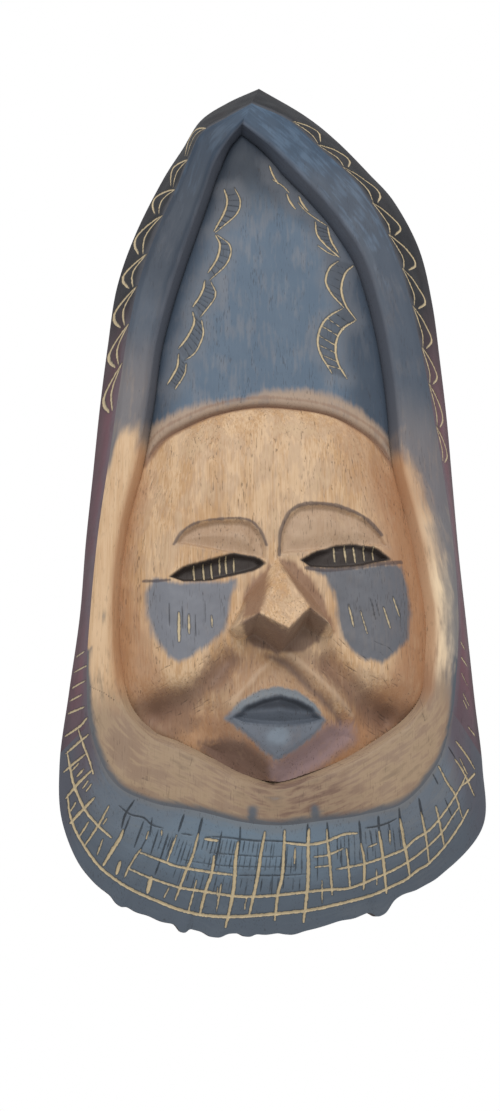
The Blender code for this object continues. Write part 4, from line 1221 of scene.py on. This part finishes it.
class MASK_OT_back(Operator):
    """The edge of the block, the flat rim of its back and the hollow scooped out of it."""

    bl_idname = "mask.back"
    bl_label = "Back"
    bl_options = {"REGISTER", "UNDO"}

    def execute(self, context):
        form, stains = settings(context)
        outline = carving_lines().outline
        twin = outline[::-1]
        spine = np.stack([0 * outline[:, 0], np.clip((outline[:, 1] + twin[:, 1]) / 2, *SPINE_ENDS)], 1)
        reach = outline - spine
        length = np.linalg.norm(reach, axis=1)[:, None]
        above = np.clip((outline[:, 1:] - SPINE_ENDS[1]) / CROWN_BLEND, 0, 1)
        radius = length - BACK_RIM
        radius += (np.minimum(radius, CROWN_RADIUS) - radius) * above
        mouth = spine + reach * radius / length
        bands = [(outline, form.edge_thick * (1 - step / SIDE_BANDS)) for step in range(SIDE_BANDS)]
        for share in np.linspace(0, 1, FLAT_BANDS + 1):
            bands.append((outline * (1 - share) + mouth * share, 0))
        for step in range(1, HOLLOW_BANDS + 1):
            share = 1 - step / HOLLOW_BANDS
            line = spine + (mouth - spine) * share
            depth = np.interp(line[:, 1], *np.array(HOLLOW_DEPTHS, float).T)
            gouged = 0.6 * ripple(line[:, 0], line[:, 1], seed=51, size=22) * min(step / 4, 1)
            bands.append((line, depth * shoulder(2 * (1 - share)) + gouged))
        points = np.array([line for line, _ in bands])[:, :-1]
        height = np.array([np.broadcast_to(h, len(outline)) for _, h in bands])[:, :-1]
        row = np.arange(len(bands))[:, None] + 0.0 * height
        fields = {"edge": 9.5 - 2.0 * row, "hollow": 2.0 * row - 21}
        wood = wood_material(
            "back_wood", stains.back, "6b4a30",
            [("hollow", "5d4430", 6, 3, 0.6, 0.3), ("edge", "2f2c31", 3, 2, 0.92, 0.1)],
            [], pores=0.6, roughness=0.75,
        )
        make_piece(context, "back", points, height, fields, wood, closed=True, merge=True)
        return {"FINISHED"}


class MASK_OT_hangers(Operator):
    """Gives the hangers' straps, rings and screws their metal finishes."""

    bl_idname = "mask.hangers"
    bl_label = "Hangers"
    bl_options = {"REGISTER", "UNDO"}

    def execute(self, context):
        finishes = {"strap": ("zinc_strap", "b3b1a8", 0.38), "ring": ("zinc_wire", "a9a8a2", 0.3),
                    "screw": ("zinc_screw", "b89f62", 0.35)}
        made = {}
        for word, (name, code, roughness) in finishes.items():
            material = bpy.data.materials.new(name)
            material.use_nodes = True
            tree = material.node_tree
            surface = tree.nodes["Principled BSDF"]
            cloud = noise(tree, millimetres(tree), 2.5, 2.5)
            dull = tuple(0.55 * part for part in srgb(code))
            color = blend(tree, step_up(tree, cloud, 0.35, 0.7), rgba(code), rgba(dull))
            feed(tree, surface.inputs["Base Color"], color)
            feed(tree, surface.inputs["Roughness"], add(tree, times(tree, cloud, 0.25), roughness - 0.1))
            surface.inputs["Metallic"].default_value = 1.0
            made[word] = material
        for name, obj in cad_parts.items():
            word = name.split("_")[-1]
            if word in made:
                obj.data.materials.clear()
                obj.data.materials.append(made[word])
        return {"FINISHED"}


class MASK_OT_stage(Operator):
    """The camera, the key light and the light from all round, on plain white."""

    bl_idname = "mask.stage"
    bl_label = "Stage"
    bl_options = {"REGISTER", "UNDO"}

    def execute(self, context):
        scene = context.scene
        stage = scene.mask_stage
        level = math.cos(stage.drop)
        back = Vector((-math.sin(stage.turn) * level, -math.cos(stage.turn) * level, -math.sin(stage.drop)))
        camera = bpy.data.objects.new("camera", bpy.data.cameras.new("camera"))
        camera.data.lens, camera.data.sensor_width = stage.lens, 36.0
        camera.location = TARGET + back * stage.distance
        camera.rotation_euler = (-back).to_track_quat("-Z", "Y").to_euler()
        scene.collection.objects.link(camera)
        scene.camera = camera
        key = bpy.data.objects.new("key", bpy.data.lights.new("key", "AREA"))
        key.data.energy, key.data.size = stage.key, KEY_SIZE
        key.location = KEY_PLACE
        key.rotation_euler = (KEY_TARGET - KEY_PLACE).to_track_quat("-Z", "Y").to_euler()
        scene.collection.objects.link(key)
        world = bpy.data.worlds.new("surroundings")
        world.use_nodes = True
        tree = world.node_tree
        tree.nodes.clear()
        path = tree.nodes.new("ShaderNodeLightPath")
        shown, lit = tree.nodes.new("ShaderNodeBackground"), tree.nodes.new("ShaderNodeBackground")
        shown.inputs["Color"].default_value = (1, 1, 1, 1)
        lit.inputs["Color"].default_value = (0.97, 0.99, 1, 1)
        lit.inputs["Strength"].default_value = stage.ambient
        either = tree.nodes.new("ShaderNodeMixShader")
        tree.links.new(path.outputs["Is Camera Ray"], either.inputs[0])
        tree.links.new(lit.outputs[0], either.inputs[1])
        tree.links.new(shown.outputs[0], either.inputs[2])
        tree.links.new(either.outputs[0], tree.nodes.new("ShaderNodeOutputWorld").inputs["Surface"])
        scene.world = world
        scene.view_settings.view_transform = "Standard"
        return {"FINISHED"}


OPERATORS = (
    MASK_OT_crown, MASK_OT_face, MASK_OT_rim, MASK_OT_band, MASK_OT_beard, MASK_OT_back, MASK_OT_hangers,
    MASK_OT_stage,
)


class MASK_PT_panel(Panel):
    bl_idname = "MASK_PT_panel"
    bl_label = "Carved wall mask"
    bl_space_type = "VIEW_3D"
    bl_region_type = "UI"
    bl_category = "Mask"

    def draw(self, context):
        for operator in OPERATORS:
            self.layout.operator(operator.bl_idname)
        for group in (context.scene.mask_form, context.scene.mask_stains, context.scene.mask_stage):
            box = self.layout.box()
            for label in type(group).__annotations__:
                box.prop(group, label)


CLASSES = (MaskForm, MaskStains, MaskStage, *OPERATORS, MASK_PT_panel)


def register():
    for cls in CLASSES:
        bpy.utils.register_class(cls)
    bpy.types.Scene.mask_form = PointerProperty(type=MaskForm)
    bpy.types.Scene.mask_stains = PointerProperty(type=MaskStains)
    bpy.types.Scene.mask_stage = PointerProperty(type=MaskStage)


def unregister():
    del bpy.types.Scene.mask_stage, bpy.types.Scene.mask_stains, bpy.types.Scene.mask_form
    for cls in reversed(CLASSES):
        bpy.utils.unregister_class(cls)


def main():
    register()
    for operator in OPERATORS:
        space, name = operator.bl_idname.split(".")
        getattr(getattr(bpy.ops, space), name)()


if __name__ == "__main__":
    main()
